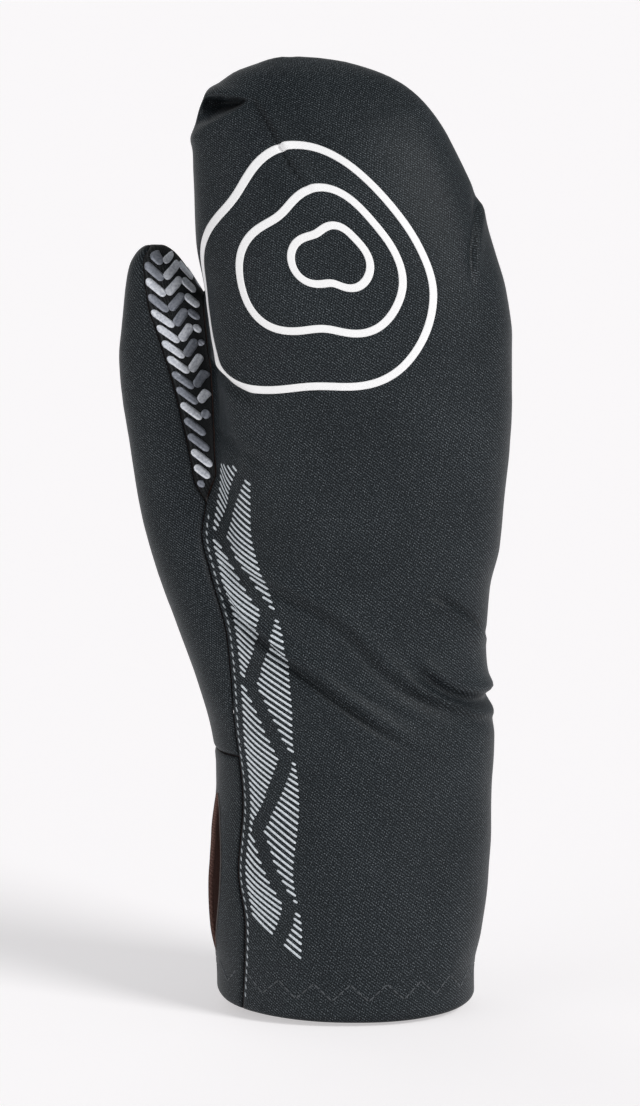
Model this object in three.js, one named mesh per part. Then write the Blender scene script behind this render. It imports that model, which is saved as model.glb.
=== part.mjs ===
// A waterproof overglove (overmitt) for the right hand, in the shape it has when worn: fingers up, thumb at the
// left, the back of the hand towards -Y and the palm towards +Y. It is a hollow shell of sewn cloth panels:
//   back_panel   the back of the hand, from the cuff's edge over the finger tips, round both sides
//   thumb_back   the outer half of the thumb and of its base
//   thumb_grip   the gripping half of the thumb, down to the crease of the palm
//   palm_panel   the palm and the inside of the fingers
//   cuff_panel   the under side of the cuff, with the wrist slit on the thumb's side
//   cuff_hem     the edge of the cuff turned up inside
// The hand and the thumb are two tapering tubes, each given by a table of sections, that melt into one another.
// Every panel is a patch of that one outer surface between seams, thickened inwards.
import * as THREE from "three";

// Driving sizes, in millimetres. The origin is the middle of the cuff's mouth.
const CLOTH = 1.4; // thickness of the shell cloth
const SEAM_GAP = 0.5; // clear line left between two panels
const BLEND = 7; // how softly the thumb melts into the hand
const CROSS_SEAM_Z = 80; // seam round the wrist, between cuff_panel and the panels above it
const HEM = { height: 14, thickness: 1.2, gap: 0.5 };
// The edge of the cuff dips towards the back of the hand and the little finger, fading out up to a height.
const CUFF_SLANT = { back: 0.085, side: 0.02, fades: 45 };
const SLIT = { low: 15, high: 66, middle: 190, half: 10.5, end: 1.2 }; // heights, then degrees round the section
const SIDE_SEAM = 372; // degrees: the seam on the little finger's side, just past the outline on the palm side
const INDEX_SEAM = 165; // degrees: the same on the index finger's side
const THUMB_SEAM = { high: 150, low: 112, from: 92, to: 150 }; // degrees round the thumb above and below heights

// Sections of the hand. left and right are the outline seen from the back of the hand, back and palm are how far
// the two walls stand from the middle, and square is how boxy the section is (2 is an ellipse).
const HAND = [
  { z: 0, left: -41.5, right: 41.7, back: -35, palm: 35, square: 2.1 },
  { z: 9, left: -41.7, right: 41.6, back: -35.4, palm: 34.8, square: 2.1 },
  { z: 21, left: -43.4, right: 44.2, back: -35.2, palm: 34.4, square: 2.1 },
  { z: 36, left: -44.2, right: 46.4, back: -34.4, palm: 33.8, square: 2.1 },
  { z: 52, left: -43.2, right: 47.3, back: -33.2, palm: 33, square: 2.1 },
  { z: 68, left: -41.2, right: 47.5, back: -31.4, palm: 31.8, square: 2.15 },
  { z: 84, left: -41.6, right: 48.2, back: -29.6, palm: 30.6, square: 2.2 },
  { z: 100, left: -41.4, right: 46.4, back: -28.2, palm: 29.6, square: 2.25 },
  { z: 115, left: -40.5, right: 45.2, back: -27.6, palm: 29.1, square: 2.3 },
  { z: 131, left: -39.7, right: 46.4, back: -27.5, palm: 29, square: 2.35 },
  { z: 146, left: -39.3, right: 49.8, back: -27.5, palm: 29, square: 2.4 },
  { z: 162, left: -39.6, right: 50.9, back: -27.6, palm: 29, square: 2.4 },
  { z: 177, left: -40.4, right: 52.4, back: -27.6, palm: 28.8, square: 2.4 },
  { z: 193, left: -41.2, right: 53.2, back: -27.4, palm: 28.4, square: 2.4 },
  { z: 212, left: -43.2, right: 53.2, back: -26.9, palm: 27.8, square: 2.4 },
  { z: 227, left: -44.6, right: 51.2, back: -25.8, palm: 27.2, square: 2.4 },
  { z: 242, left: -47.1, right: 46.9, back: -23.9, palm: 26.5, square: 2.35 },
  { z: 257, left: -48, right: 41.9, back: -20.6, palm: 25.6, square: 2.3 },
  { z: 273, left: -48.4, right: 34, back: -15, palm: 24, square: 2.25 },
  { z: 281, left: -47, right: 29.1, back: -11, palm: 22.9, square: 2.2 },
  { z: 288, left: -44.4, right: 23.2, back: -6.2, palm: 21.4, square: 2.2 },
  { z: 292, left: -39.9, right: 18.1, back: -2.9, palm: 20.4, square: 2.2 },
  { z: 295.6, left: -35, right: 11, back: 0.8, palm: 18.5, square: 2.2 },
  { z: 298.6, left: -27.4, right: 2, back: 5.1, palm: 15.3, square: 2.2 },
  { z: 300.3, left: -22.4, right: -7.4, back: 8.1, palm: 12.2, square: 2.2 },
  { z: 300.9, left: -19.4, right: -14.8, back: 9.8, palm: 10.2, square: 2 },
];

// Sections of the thumb, cut level like the hand's. Below the crotch they sink into the hand.
const THUMB = [
  { z: 76, left: -36, right: -24, back: -6, palm: 12, square: 2 },
  { z: 84, left: -40.2, right: -24, back: -12, palm: 18, square: 2 },
  { z: 97, left: -46, right: -24, back: -16, palm: 21, square: 2.1 },
  { z: 113, left: -51.8, right: -24, back: -15, palm: 23, square: 2.2 },
  { z: 129, left: -57.7, right: -25, back: -12.5, palm: 24.5, square: 2.2 },
  { z: 145, left: -63, right: -27, back: -9, palm: 26, square: 2.2 },
  { z: 160, left: -66.7, right: -30, back: -5.5, palm: 27, square: 2.2 },
  { z: 176, left: -69.5, right: -34, back: -2.5, palm: 28, square: 2.2 },
  { z: 191, left: -71.7, right: -39, back: 0, palm: 28.4, square: 2.2 },
  { z: 205, left: -72.6, right: -42, back: 1, palm: 28.4, square: 2.2 },
  { z: 215, left: -71.9, right: -43, back: 1.6, palm: 27.8, square: 2.2 },
  { z: 222, left: -71.2, right: -44, back: 2.4, palm: 27, square: 2.2 },
  { z: 229, left: -70.3, right: -47.8, back: 4, palm: 25.4, square: 2.2 },
  { z: 234, left: -69.2, right: -51.1, back: 6.2, palm: 23.4, square: 2.1 },
  { z: 238, left: -67, right: -54.3, back: 9, palm: 20.6, square: 2 },
  { z: 240.2, left: -64.4, right: -57.4, back: 12, palm: 17.6, square: 2 },
  { z: 240.9, left: -62.4, right: -59.8, back: 14.4, palm: 15.4, square: 2 },
];

// The seam between back_panel and the thumb's side, seen from the back: from the cuff's edge up to the foot of
// thumb_grip. From there it runs on, between back_panel and thumb_grip, to the crease at FORK_Z.
const BACK_SEAM = [
  { z: 0, x: -33 },
  { z: 27, x: -32.2 },
  { z: 44, x: -34.5 },
  { z: 66, x: -32.8 },
  { z: 90, x: -35.2 },
  { z: 118, x: -37.8 },
  { z: 138, x: -43 },
  { z: 150, x: -45.6 },
  { z: 160, x: -44.2 },
];
const FORK_Z = 168.6;

// The seam along the thumb between thumb_back and thumb_grip, seen from the back: from its foot up to the tip.
const THUMB_SEAM_FRONT = [
  { z: 160, x: -44.2 },
  { z: 166.5, x: -47.9 },
  { z: 173, x: -49.1 },
  { z: 186, x: -52 },
  { z: 199, x: -55.4 },
  { z: 214, x: -60.3 },
  { z: 222, x: -63 },
  { z: 236, x: -64.6 },
  { z: 240.9, x: -62.4 },
];

// Folds of the back: a line from (x1, z1) to (x2, z2) that bows sideways, a groove of that width and depth along
// it, and a soft lip beside the groove (to the left of the line's own direction if side is 1, else to the right).
const FOLDS = [
  { name: "wrist", x1: -43, z1: 131, x2: 31, z2: 76, bow: -2, width: 4, depth: 2.6, lip: 1.4, side: 1 },
  { name: "wrist upper", x1: -12, z1: 129, x2: 31, z2: 94, bow: 0, width: 4.5, depth: 1.2, lip: 0.8, side: 1 },
  { name: "wrist side", x1: 22, z1: 108, x2: 52, z2: 98, bow: -1.5, width: 3, depth: 1.6, lip: 0.6, side: 1 },
  { name: "heel", x1: 26, z1: 128, x2: 50, z2: 106, bow: 0, width: 3, depth: 1.3, lip: 0.6, side: 1 },
  { name: "tip tuck", x1: -52, z1: 282.5, x2: -34, z2: 287, bow: 0, width: 3.4, depth: 7, lip: 1.2, side: 1 },
  { name: "tip crease", x1: -37, z1: 289, x2: -14, z2: 262, bow: -1, width: 2.6, depth: 1.5, lip: 0.8, side: 1 },
  { name: "crotch", x1: -41, z1: 204, x2: -37, z2: 172, bow: 0, width: 5, depth: 1.8, lip: 0, side: 1 },
];

const radians = (degrees) => (degrees * Math.PI) / 180;
const degrees = (angle) => (angle * 180) / Math.PI;

function smoothstep(from, to, value) {
  const t = Math.min(1, Math.max(0, (value - from) / (to - from)));
  return t * t * (3 - 2 * t);
}

// Evenly spaced values from one number to another, both included.
function spread(from, to, steps) {
  return Array.from({ length: steps + 1 }, (_, i) => from + ((to - from) * i) / steps);
}

// The root of a function that changes sign between two values.
function root(low, high, f) {
  const rising = f(high) > f(low);
  for (let i = 0; i < 30; i++) {
    const middle = (low + high) / 2;
    if (f(middle) > 0 === rising) high = middle;
    else low = middle;
  }
  return (low + high) / 2;
}

// A smooth curve through one column of a table, which never overshoots a row (a monotone cubic).
function curveOf(table, column) {
  const z = table.map((row) => row.z);
  const v = table.map((row) => row[column]);
  const last = z.length - 1;
  const slope = (i) => (v[i + 1] - v[i]) / (z[i + 1] - z[i]);
  const tangent = z.map((_, i) => {
    if (i === 0) return slope(0);
    if (i === last) return slope(last - 1);
    const before = slope(i - 1);
    const after = slope(i);
    return before * after <= 0 ? 0 : (2 * before * after) / (before + after);
  });
  return (height) => {
    const h = Math.min(z[last], Math.max(z[0], height));
    let i = 0;
    while (i < last - 1 && z[i + 1] < h) i++;
    const span = z[i + 1] - z[i];
    const t = (h - z[i]) / span;
    const s = 1 - t;
    return (
      v[i] * (1 + 2 * t) * s * s +
      tangent[i] * span * t * s * s +
      v[i + 1] * t * t * (3 - 2 * t) -
      tangent[i + 1] * span * t * t * s
    );
  };
}

// A tapering tube: its section at a height, with its centre and half sizes.
function tubeOf(table) {
  const curves = Object.fromEntries(
    ["left", "right", "back", "palm", "square"].map((name) => [name, curveOf(table, name)]),
  );
  const section = (z) => {
    const [left, right, back, palm, square] = Object.values(curves).map((curve) => curve(z));
    return { x: (left + right) / 2, y: (back + palm) / 2, a: (right - left) / 2, b: (palm - back) / 2, square };
  };
  return { section, top: table[table.length - 1].z, bottom: table[0].z };
}

const hand = tubeOf(HAND);
const thumb = tubeOf(THUMB);

// How far a point lies outside a tube, measured level and away from its centre line.
function outside(tube, x, y, z) {
  const s = tube.section(z);
  const dx = x - s.x;
  const dy = y - s.y;
  const reach = Math.hypot(dx, dy);
  const share = Math.pow(Math.abs(dx / s.a) ** s.square + Math.abs(dy / s.b) ** s.square, 1 / s.square);
  const level = share > 0 ? reach * (1 - 1 / share) : -Math.min(s.a, s.b);
  return level + 3 * (Math.max(0, z - tube.top) + Math.max(0, tube.bottom - z));
}

// The same for the whole mitten: the nearer tube, with the hollow between the two rounded.
function outsideAll(x, y, z) {
  const fromHand = outside(hand, x, y, z);
  const fromThumb = outside(thumb, x, y, z);
  const soft = Math.max(0, BLEND - Math.abs(fromHand - fromThumb)) / BLEND;
  return Math.min(fromHand, fromThumb) - (soft * soft * BLEND) / 4;
}

// The point at an angle round a tube's section, moved out level by a distance.
function onTube(tube, z, angle, out = 0) {
  const s = tube.section(z);
  const c = Math.cos(radians(angle));
  const n = Math.sin(radians(angle));
  const dx = s.a * Math.sign(c) * Math.abs(c) ** (2 / s.square);
  const dy = s.b * Math.sign(n) * Math.abs(n) ** (2 / s.square);
  const grow = 1 + out / Math.hypot(dx, dy);
  return { x: s.x + dx * grow, y: s.y + dy * grow, z };
}

// The angle round a tube's section at which a point lies, from 0 to 360.
function angleOf(tube, point) {
  const s = tube.section(point.z);
  const dx = (point.x - s.x) / s.a;
  const dy = (point.y - s.y) / s.b;
  const c = Math.sign(dx) * Math.abs(dx) ** (s.square / 2);
  const n = Math.sign(dy) * Math.abs(dy) ** (s.square / 2);
  return (degrees(Math.atan2(n, c)) + 360) % 360;
}

// The point of the mitten's outer surface at an angle round one of the tubes.
function onMitten(tube, z, angle) {
  const start = onTube(tube, z, angle);
  const s = tube.section(z);
  const reach = Math.hypot(start.x - s.x, start.y - s.y);
  const ux = (start.x - s.x) / reach;
  const uy = (start.y - s.y) / reach;
  const beyond = (r) => outsideAll(s.x + ux * r, s.y + uy * r, z);
  const step = 0.25;
  let far = reach + 1e-6;
  while (beyond(far) < 0) far += step;
  const r = root(far - step, far, beyond);
  return { x: s.x + ux * r, y: s.y + uy * r, z };
}

// The outer surface's normal at a point. On the very tips of the two tubes it is straight up.
function normalAt(p) {
  if (p.z === hand.top || p.z === thumb.top) return new THREE.Vector3(0, 0, 1);
  const h = 0.25;
  const low = Math.max(0, p.z - h);
  const high = Math.min(hand.top, p.z + h);
  return new THREE.Vector3(
    (outsideAll(p.x + h, p.y, p.z) - outsideAll(p.x - h, p.y, p.z)) / (2 * h),
    (outsideAll(p.x, p.y + h, p.z) - outsideAll(p.x, p.y - h, p.z)) / (2 * h),
    (outsideAll(p.x, p.y, high) - outsideAll(p.x, p.y, low)) / (high - low),
  ).normalize();
}

// How far the folds move the surface out at a point, by its normal: they are on the back and fade round the sides.
function foldsAt(p, normal) {
  const onBack = 1 - smoothstep(-0.1, 0.55, normal.y);
  let moved = 0;
  for (const fold of FOLDS) {
    const dx = fold.x2 - fold.x1;
    const dz = fold.z2 - fold.z1;
    const long = Math.hypot(dx, dz);
    const along = ((p.x - fold.x1) * dx + (p.z - fold.z1) * dz) / (long * long);
    const aside = ((p.z - fold.z1) * dx - (p.x - fold.x1) * dz) / long - fold.bow * 4 * along * (1 - along);
    const ends = smoothstep(-0.1, 0.2, along) * (1 - smoothstep(0.8, 1.1, along));
    const groove = Math.exp(-((aside / fold.width) ** 2));
    const lip = Math.exp(-((aside / fold.width - 1.9 * fold.side) ** 2));
    moved += ends * (fold.lip * lip - fold.depth * groove);
  }
  return moved * onBack;
}

// Seams. Each gives the seam's point on the outer surface at a height.
const backSeamX = curveOf(BACK_SEAM, "x");
const thumbSeamX = curveOf(THUMB_SEAM_FRONT, "x");
const MELT = BLEND / 4; // in the crease between hand and thumb the surface lies this far outside both

// The seam along the thumb, on its back: where the surface has the seam's x. At the tip it stays on the thumb.
function thumbFrontSeam(z) {
  const s = thumb.section(z);
  const x = Math.max(thumbSeamX(z), s.x - 0.8 * s.a);
  return onMitten(thumb, z, root(180, 300, (angle) => onMitten(thumb, z, angle).x - x));
}

// The seam along the thumb on its palm side, as an angle round the thumb and as a point.
function thumbPalmAngle(z) {
  return THUMB_SEAM.low + (THUMB_SEAM.high - THUMB_SEAM.low) * smoothstep(THUMB_SEAM.from, THUMB_SEAM.to, z);
}

const thumbPalmSeam = (z) => onMitten(thumb, z, thumbPalmAngle(z));

const creaseOut = (p) => outside(hand, p.x, p.y, p.z) - MELT;

// The height where the crease round the thumb ends on the palm.
const CREASE_END_Z = root(CROSS_SEAM_Z, 150, (z) => creaseOut(onTube(thumb, z, thumbPalmAngle(z), MELT)));
const fromThumb = (z, angle) => {
  const p = onTube(hand, z, angle, MELT);
  return outside(thumb, p.x, p.y, p.z) - MELT;
};
const towardsThumb = (z) => {
  let best = 150;
  for (let angle = 130; angle <= 220; angle += 0.5) if (fromThumb(z, angle) < fromThumb(z, best)) best = angle;
  return best;
};

// The crease between hand and thumb at a height under the crotch, on the back or on the palm side.
function crease(z, onBack) {
  const inside = towardsThumb(z);
  const angle = root(inside, onBack ? 268 : 92, (a) => fromThumb(z, a));
  return onTube(hand, z, angle, MELT);
}

// The point of the outer surface that shows at x and z when the mitten is seen from the back of the hand.
function seenFromBack(x, z) {
  let y = -45;
  while (outsideAll(x, y, z) > 0) y += 0.25;
  return { x, y: root(y - 0.25, y, (deep) => outsideAll(x, deep, z)), z };
}

// The seam of back_panel on the thumb's side, up to the fork. Above its foot it slants over to the crease.
const FOOT = seenFromBack(thumbSeamX(THUMB_SEAM_FRONT[0].z), THUMB_SEAM_FRONT[0].z);
const FORK = crease(FORK_Z, true);

function backSeam(z) {
  const over = Math.max(0, (z - FOOT.z) / (FORK.z - FOOT.z));
  return seenFromBack(backSeamX(z) + (FORK.x - FOOT.x) * over, z);
}

// The angle round the thumb at a share of the way across thumb_grip, from its seam on the back to that on the palm.
function gripAngle(share, z) {
  const front = angleOf(thumb, thumbFrontSeam(z)) - 360;
  return front + (thumbPalmAngle(z) - front) * share;
}

// How far a point of the thumb is from the lower edge of thumb_grip: from the crease, or from the slanting seam.
function aboveGripEdge(p) {
  const slant = (FORK.z - FOOT.z) / (FORK.x - FOOT.x);
  const aboveSeam = p.y < 0 ? p.z - FOOT.z - (p.x - FOOT.x) * slant : Infinity;
  return Math.min(creaseOut(p), aboveSeam);
}

// That edge's points: the lower ends of the columns of thumb_grip, from its foot up to the crotch and down again.
const GRIP_COLUMNS = 16;
const CREASE = spread(0, 1, GRIP_COLUMNS).map((share) => {
  if (share === 0) return FOOT;
  if (share === 1) return thumbPalmSeam(CREASE_END_Z);
  const at = (z) => onTube(thumb, z, gripAngle(share, z), MELT);
  let high = thumb.top - 8;
  while (aboveGripEdge(at(high)) > 0 && high > CREASE_END_Z) high -= 1;
  const end = at(root(high, high + 1, (z) => aboveGripEdge(at(z))));
  return creaseOut(end) > 0.1 ? backSeam(end.z) : end;
});

const CROTCH_PLACE = CREASE.reduce((best, p, j) => (p.z > CREASE[best].z ? j : best), 0);
const CROTCH_Z = CREASE[CROTCH_PLACE].z;
const CROTCH_ANGLE = angleOf(hand, CREASE[CROTCH_PLACE]);

// The seam of back_panel and of palm_panel on the thumb's side. Above the crotch the two meet in one seam.
function indexSeam(z) {
  const angle = CROTCH_ANGLE + (INDEX_SEAM - CROTCH_ANGLE) * smoothstep(CROTCH_Z, CROTCH_Z + 40, z);
  return onMitten(hand, z, angle);
}

const creasePoint = (z) => CREASE.find((p) => p.z === z);

function backLeft(z) {
  if (z > CROTCH_Z) return indexSeam(z);
  return creasePoint(z) ?? backSeam(z);
}

function palmLeft(z) {
  if (z > CROTCH_Z) return indexSeam(z);
  return creasePoint(z) ?? thumbPalmSeam(z);
}

// Heights about a step apart, both ends included.
const heights = (from, to, step) => spread(from, to, Math.round((to - from) / step));

// Heights over a tube's round tip, closing up towards its top.
function tipHeights(tube, rounded, steps) {
  return spread(0, 90, steps).map((a) => tube.top - rounded + rounded * Math.sin(radians(a)));
}

// A vertex's place once the cuff's edge is slanted.
function slanted(p) {
  const rise = CUFF_SLANT.back * p.y - CUFF_SLANT.side * p.x;
  return [p.x, p.y, p.z + rise * (1 - smoothstep(0, CUFF_SLANT.fades, p.z))];
}

// One panel: a grid of surface points thickened inwards by the cloth. rows is a list of rows of points, pull says
// which edges are seams (top, bottom, left, right) and step back from them by half a gap, and keep drops cells.
function panel(rows, { pull = {}, keep = () => true, depth = 0, thickness = CLOTH, ring = false } = {}) {
  const half = SEAM_GAP / 2;
  const surface = rows.map((row) =>
    row.map((p) => {
      const normal = normalAt(p);
      const at = new THREE.Vector3(p.x, p.y, p.z).addScaledVector(normal, foldsAt(p, normal) - depth);
      return { at, normal };
    }),
  );
  const height = rows.length;
  const width = rows[0].length;
  const stepBack = (vertex, towards) => {
    const way = towards.at.clone().sub(vertex.at);
    return way.multiplyScalar(half / Math.max(way.length(), 2 * half));
  };
  const moves = [];
  for (let j = 0; j < width; j++) {
    if (pull.bottom) moves.push([surface[0][j], stepBack(surface[0][j], surface[1][j])]);
    if (pull.top) moves.push([surface[height - 1][j], stepBack(surface[height - 1][j], surface[height - 2][j])]);
  }
  for (let i = 0; i < height; i++) {
    if (pull.left) moves.push([surface[i][0], stepBack(surface[i][0], surface[i][1])]);
    if (pull.right) moves.push([surface[i][width - 1], stepBack(surface[i][width - 1], surface[i][width - 2])]);
  }
  moves.forEach(([vertex, move]) => vertex.at.add(move));

  const points = surface.flat();
  const positions = [
    ...points.flatMap((p) => slanted(p.at)),
    ...points.flatMap((p) => slanted(p.at.clone().addScaledVector(p.normal, -thickness))),
  ];
  const inner = points.length;
  const outerFaces = [];
  for (let i = 0; i < height - 1; i++) {
    for (let j = 0; j < (ring ? width : width - 1); j++) {
      if (!keep(i, j)) continue;
      const a = i * width + j;
      const b = i * width + ((j + 1) % width);
      const c = a + width;
      const d = b + width;
      outerFaces.push([a, b, d], [a, d, c]);
    }
  }
  const indices = [];
  const edges = new Set(outerFaces.flatMap(([a, b, c]) => [`${a},${b}`, `${b},${c}`, `${c},${a}`]));
  for (const [a, b, c] of outerFaces) {
    indices.push(a, b, c, inner + a, inner + c, inner + b);
    for (const [p, q] of [[a, b], [b, c], [c, a]]) {
      if (!edges.has(`${q},${p}`)) indices.push(q, p, inner + p, q, inner + p, inner + q);
    }
  }
  const used = [...new Set(indices)].sort((p, q) => p - q);
  const renamed = new Map(used.map((old, place) => [old, place]));
  const geometry = new THREE.BufferGeometry();
  geometry.setAttribute(
    "position",
    new THREE.Float32BufferAttribute(used.flatMap((old) => positions.slice(3 * old, 3 * old + 3)), 3),
  );
  geometry.setIndex(indices.map((old) => renamed.get(old)));
  return turnedOut(geometry);
}

// Reverses a closed geometry's faces if they point inwards.
function turnedOut(geometry) {
  const index = geometry.index.array;
  const corner = (k) => new THREE.Vector3().fromBufferAttribute(geometry.attributes.position, index[k]);
  let volume = 0;
  for (let k = 0; k < index.length; k += 3) volume += corner(k).dot(corner(k + 1).cross(corner(k + 2)));
  if (volume < 0) for (let k = 0; k < index.length; k += 3) [index[k + 1], index[k + 2]] = [index[k + 2], index[k + 1]];
  geometry.computeVertexNormals();
  return geometry;
}

// A row of points round the hand, from a point on a seam to an angle.
function aroundHand(z, start, to, columns) {
  const angles = spread(angleOf(hand, start), to, columns).slice(1);
  return [start, ...angles.map((angle) => onMitten(hand, z, angle))];
}

// The back of the hand, in one piece from the cuff's edge over the finger tips.
function backPanel() {
  const cuff = heights(0, 86, 8);
  const wrist = heights(86, 134, 4.8).slice(1);
  const knuckles = heights(134, FOOT.z, 8).slice(1, -1);
  const fork = CREASE.slice(0, CROTCH_PLACE + 1).map((p) => p.z);
  const fingers = heights(CROTCH_Z, hand.top - 34, 8).slice(1, -1);
  const rows = [...cuff, ...wrist, ...knuckles, ...fork, ...fingers, ...tipHeights(hand, 34, 10)];
  const points = rows.map((z) => aroundHand(z, backLeft(z), SIDE_SEAM, 22));
  return panel(points, { pull: { left: true, right: true, top: true } });
}

// The palm and the inside of the fingers.
function palmPanel() {
  const wrist = heights(CROSS_SEAM_Z, CREASE_END_Z, 8).slice(0, -1);
  const fork = CREASE.slice(CROTCH_PLACE).map((p) => p.z).reverse();
  const fingers = heights(CROTCH_Z, hand.top - 34, 8).slice(1, -1);
  const rows = [...wrist, ...fork, ...fingers, ...tipHeights(hand, 34, 10)];
  const points = rows.map((z) => aroundHand(z, palmLeft(z), SIDE_SEAM - 360, 13));
  return panel(points, { pull: { left: true, right: true, bottom: true, top: true } });
}

// The under side of the cuff. The wrist slit opens between two of its columns, one on each side of the slit.
function cuffPanel() {
  const front = 4; // columns from the back seam to the slit
  const behind = 16; // columns from the slit to the side seam
  const rows = [0, 9, SLIT.low, ...spread(SLIT.low, SLIT.high, 8).slice(1, -1), SLIT.high, CROSS_SEAM_Z];
  const open = (z) => Math.sin(Math.PI * Math.min(1, Math.max(0, (z - SLIT.low) / (SLIT.high - SLIT.low)))) ** 0.8;
  const points = rows.map((z) => {
    const half = SLIT.end + SLIT.half * open(z);
    const frontEdge = SLIT.middle + half;
    const palmEdge = SLIT.middle - half;
    return [
      ...aroundHand(z, backSeam(z), frontEdge, front),
      ...aroundHand(z, onMitten(hand, z, palmEdge), SIDE_SEAM - 360, behind),
    ];
  });
  const inSlit = (i, j) => j === front && rows[i] >= SLIT.low && rows[i] < SLIT.high;
  return panel(points, { pull: { left: true, right: true, top: true }, keep: (i, j) => !inSlit(i, j) });
}

// The outer half of the thumb and of its base, from the wrist's cross seam to the tip.
function thumbBack() {
  const base = heights(CROSS_SEAM_Z, FOOT.z, 8);
  const rows = [...base, ...heights(FOOT.z, thumb.top - 14, 8).slice(1, -1), ...tipHeights(thumb, 14, 6)];
  const points = rows.map((z) => {
    const seam = angleOf(thumb, z > FOOT.z ? thumbFrontSeam(z) : backSeam(z));
    return spread(seam, thumbPalmAngle(z), 8).map((angle) => onMitten(thumb, z, angle));
  });
  return panel(points, { pull: { left: true, right: true, bottom: true, top: true } });
}

// The gripping half of the thumb. Each column runs from the tip down to the crease between thumb and hand.
function thumbGrip() {
  const points = spread(0, 1, 15).map((down) =>
    CREASE.map((end, j) => {
      if (down === 1) return end;
      const z = thumb.top - (thumb.top - end.z) * (1 - Math.cos(radians(90 * down))) ** 0.9;
      return onMitten(thumb, z, gripAngle(j / (CREASE.length - 1), z));
    }),
  );
  return panel(points, { pull: { left: true, right: true, bottom: true, top: true } });
}

// The cuff's edge turned up inside the shell: a closed ring.
function cuffHem() {
  const rows = [0, HEM.height / 2, HEM.height];
  const points = rows.map((z) => spread(0, 360, 44).slice(1).map((angle) => onMitten(hand, z, angle)));
  return panel(points, { ring: true, depth: CLOTH + HEM.gap, thickness: HEM.thickness });
}

const cloth = (color) => new THREE.MeshStandardMaterial({ color, roughness: 0.85, metalness: 0, side: THREE.DoubleSide });
const shellCloth = cloth(0x23282b);
const gripCloth = cloth(0x3a3d42);

const overglove = new THREE.Group();
function add(name, geometry, material) {
  const mesh = new THREE.Mesh(geometry, material);
  mesh.name = name;
  overglove.add(mesh);
}

add("back_panel", backPanel(), shellCloth);
add("thumb_back", thumbBack(), shellCloth);
add("thumb_grip", thumbGrip(), gripCloth);
add("palm_panel", palmPanel(), gripCloth);
add("cuff_panel", cuffPanel(), shellCloth);
add("cuff_hem", cuffHem(), shellCloth);

export default overglove;
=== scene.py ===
"""Looks of a waterproof overglove for the right hand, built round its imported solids.

The outer surface is worked out from the same tables as the solids, on a much finer grid, and then gets the
cloth's folds, seams, prints and stitches. Lengths are millimetres until a mesh is made, angles are degrees,
the fingers point up along +Z, the back of the hand faces -Y and the thumb is at -X.
"""

import math

import bpy
import numpy as np
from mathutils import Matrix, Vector, noise


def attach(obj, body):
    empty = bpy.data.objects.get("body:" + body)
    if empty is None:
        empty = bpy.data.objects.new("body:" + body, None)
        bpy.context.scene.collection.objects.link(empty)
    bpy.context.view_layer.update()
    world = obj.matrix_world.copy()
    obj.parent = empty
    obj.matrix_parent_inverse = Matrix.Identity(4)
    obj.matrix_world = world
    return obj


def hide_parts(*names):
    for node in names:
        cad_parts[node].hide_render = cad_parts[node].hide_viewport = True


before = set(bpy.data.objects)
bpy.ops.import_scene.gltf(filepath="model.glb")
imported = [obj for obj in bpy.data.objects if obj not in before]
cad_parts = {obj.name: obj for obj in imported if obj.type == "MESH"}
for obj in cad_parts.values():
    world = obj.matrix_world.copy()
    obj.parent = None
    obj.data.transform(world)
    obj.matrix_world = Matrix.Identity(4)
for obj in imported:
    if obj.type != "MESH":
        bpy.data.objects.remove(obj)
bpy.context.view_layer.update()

MM = 0.001
CLOTH = 1.4  # thickness of the shell cloth
BLEND = 7.0  # how softly the thumb melts into the hand
MELT = BLEND / 4  # in the crease between hand and thumb the surface lies this far outside both
CROSS_SEAM_Z = 80.0  # the wrist's seam between cuff and mitten
SLANT_BACK, SLANT_SIDE = 0.085, 0.02  # how the cuff's edge dips to the back and the little finger
SLANT_FADES = 45.0  # up to this height
SIDE_SEAM = 372.0  # angles round the hand of the seams on the little finger's and the index finger's side
INDEX_SEAM = 165.0
THUMB_SEAM_LOW, THUMB_SEAM_HIGH = 112.0, 150.0  # angles round the thumb of its seam on the palm side
THUMB_SEAM_FROM, THUMB_SEAM_TO = 92.0, 150.0  # the heights between which it turns from one to the other
SLIT_LOW, SLIT_HIGH = 15.0, 66.0
SLIT_MIDDLE, SLIT_HALF, SLIT_END = 190.0, 10.5, 1.2  # angle, and half widths as angles
SLIT_MORE_PALM, SLIT_MORE_BACK = 5.0, 3.0  # how much further the slit's edges gape, as angles
HEM_HEIGHT, HEM_THICKNESS, HEM_GAP = 14.0, 1.2, 0.5
SEAM_GAP = 0.24  # clear line between the rolled-in edges of two panels
ROLL_DEPTH, ROLL_WIDTH = 0.75, 1.7  # how a panel's edge turns in at a seam

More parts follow.
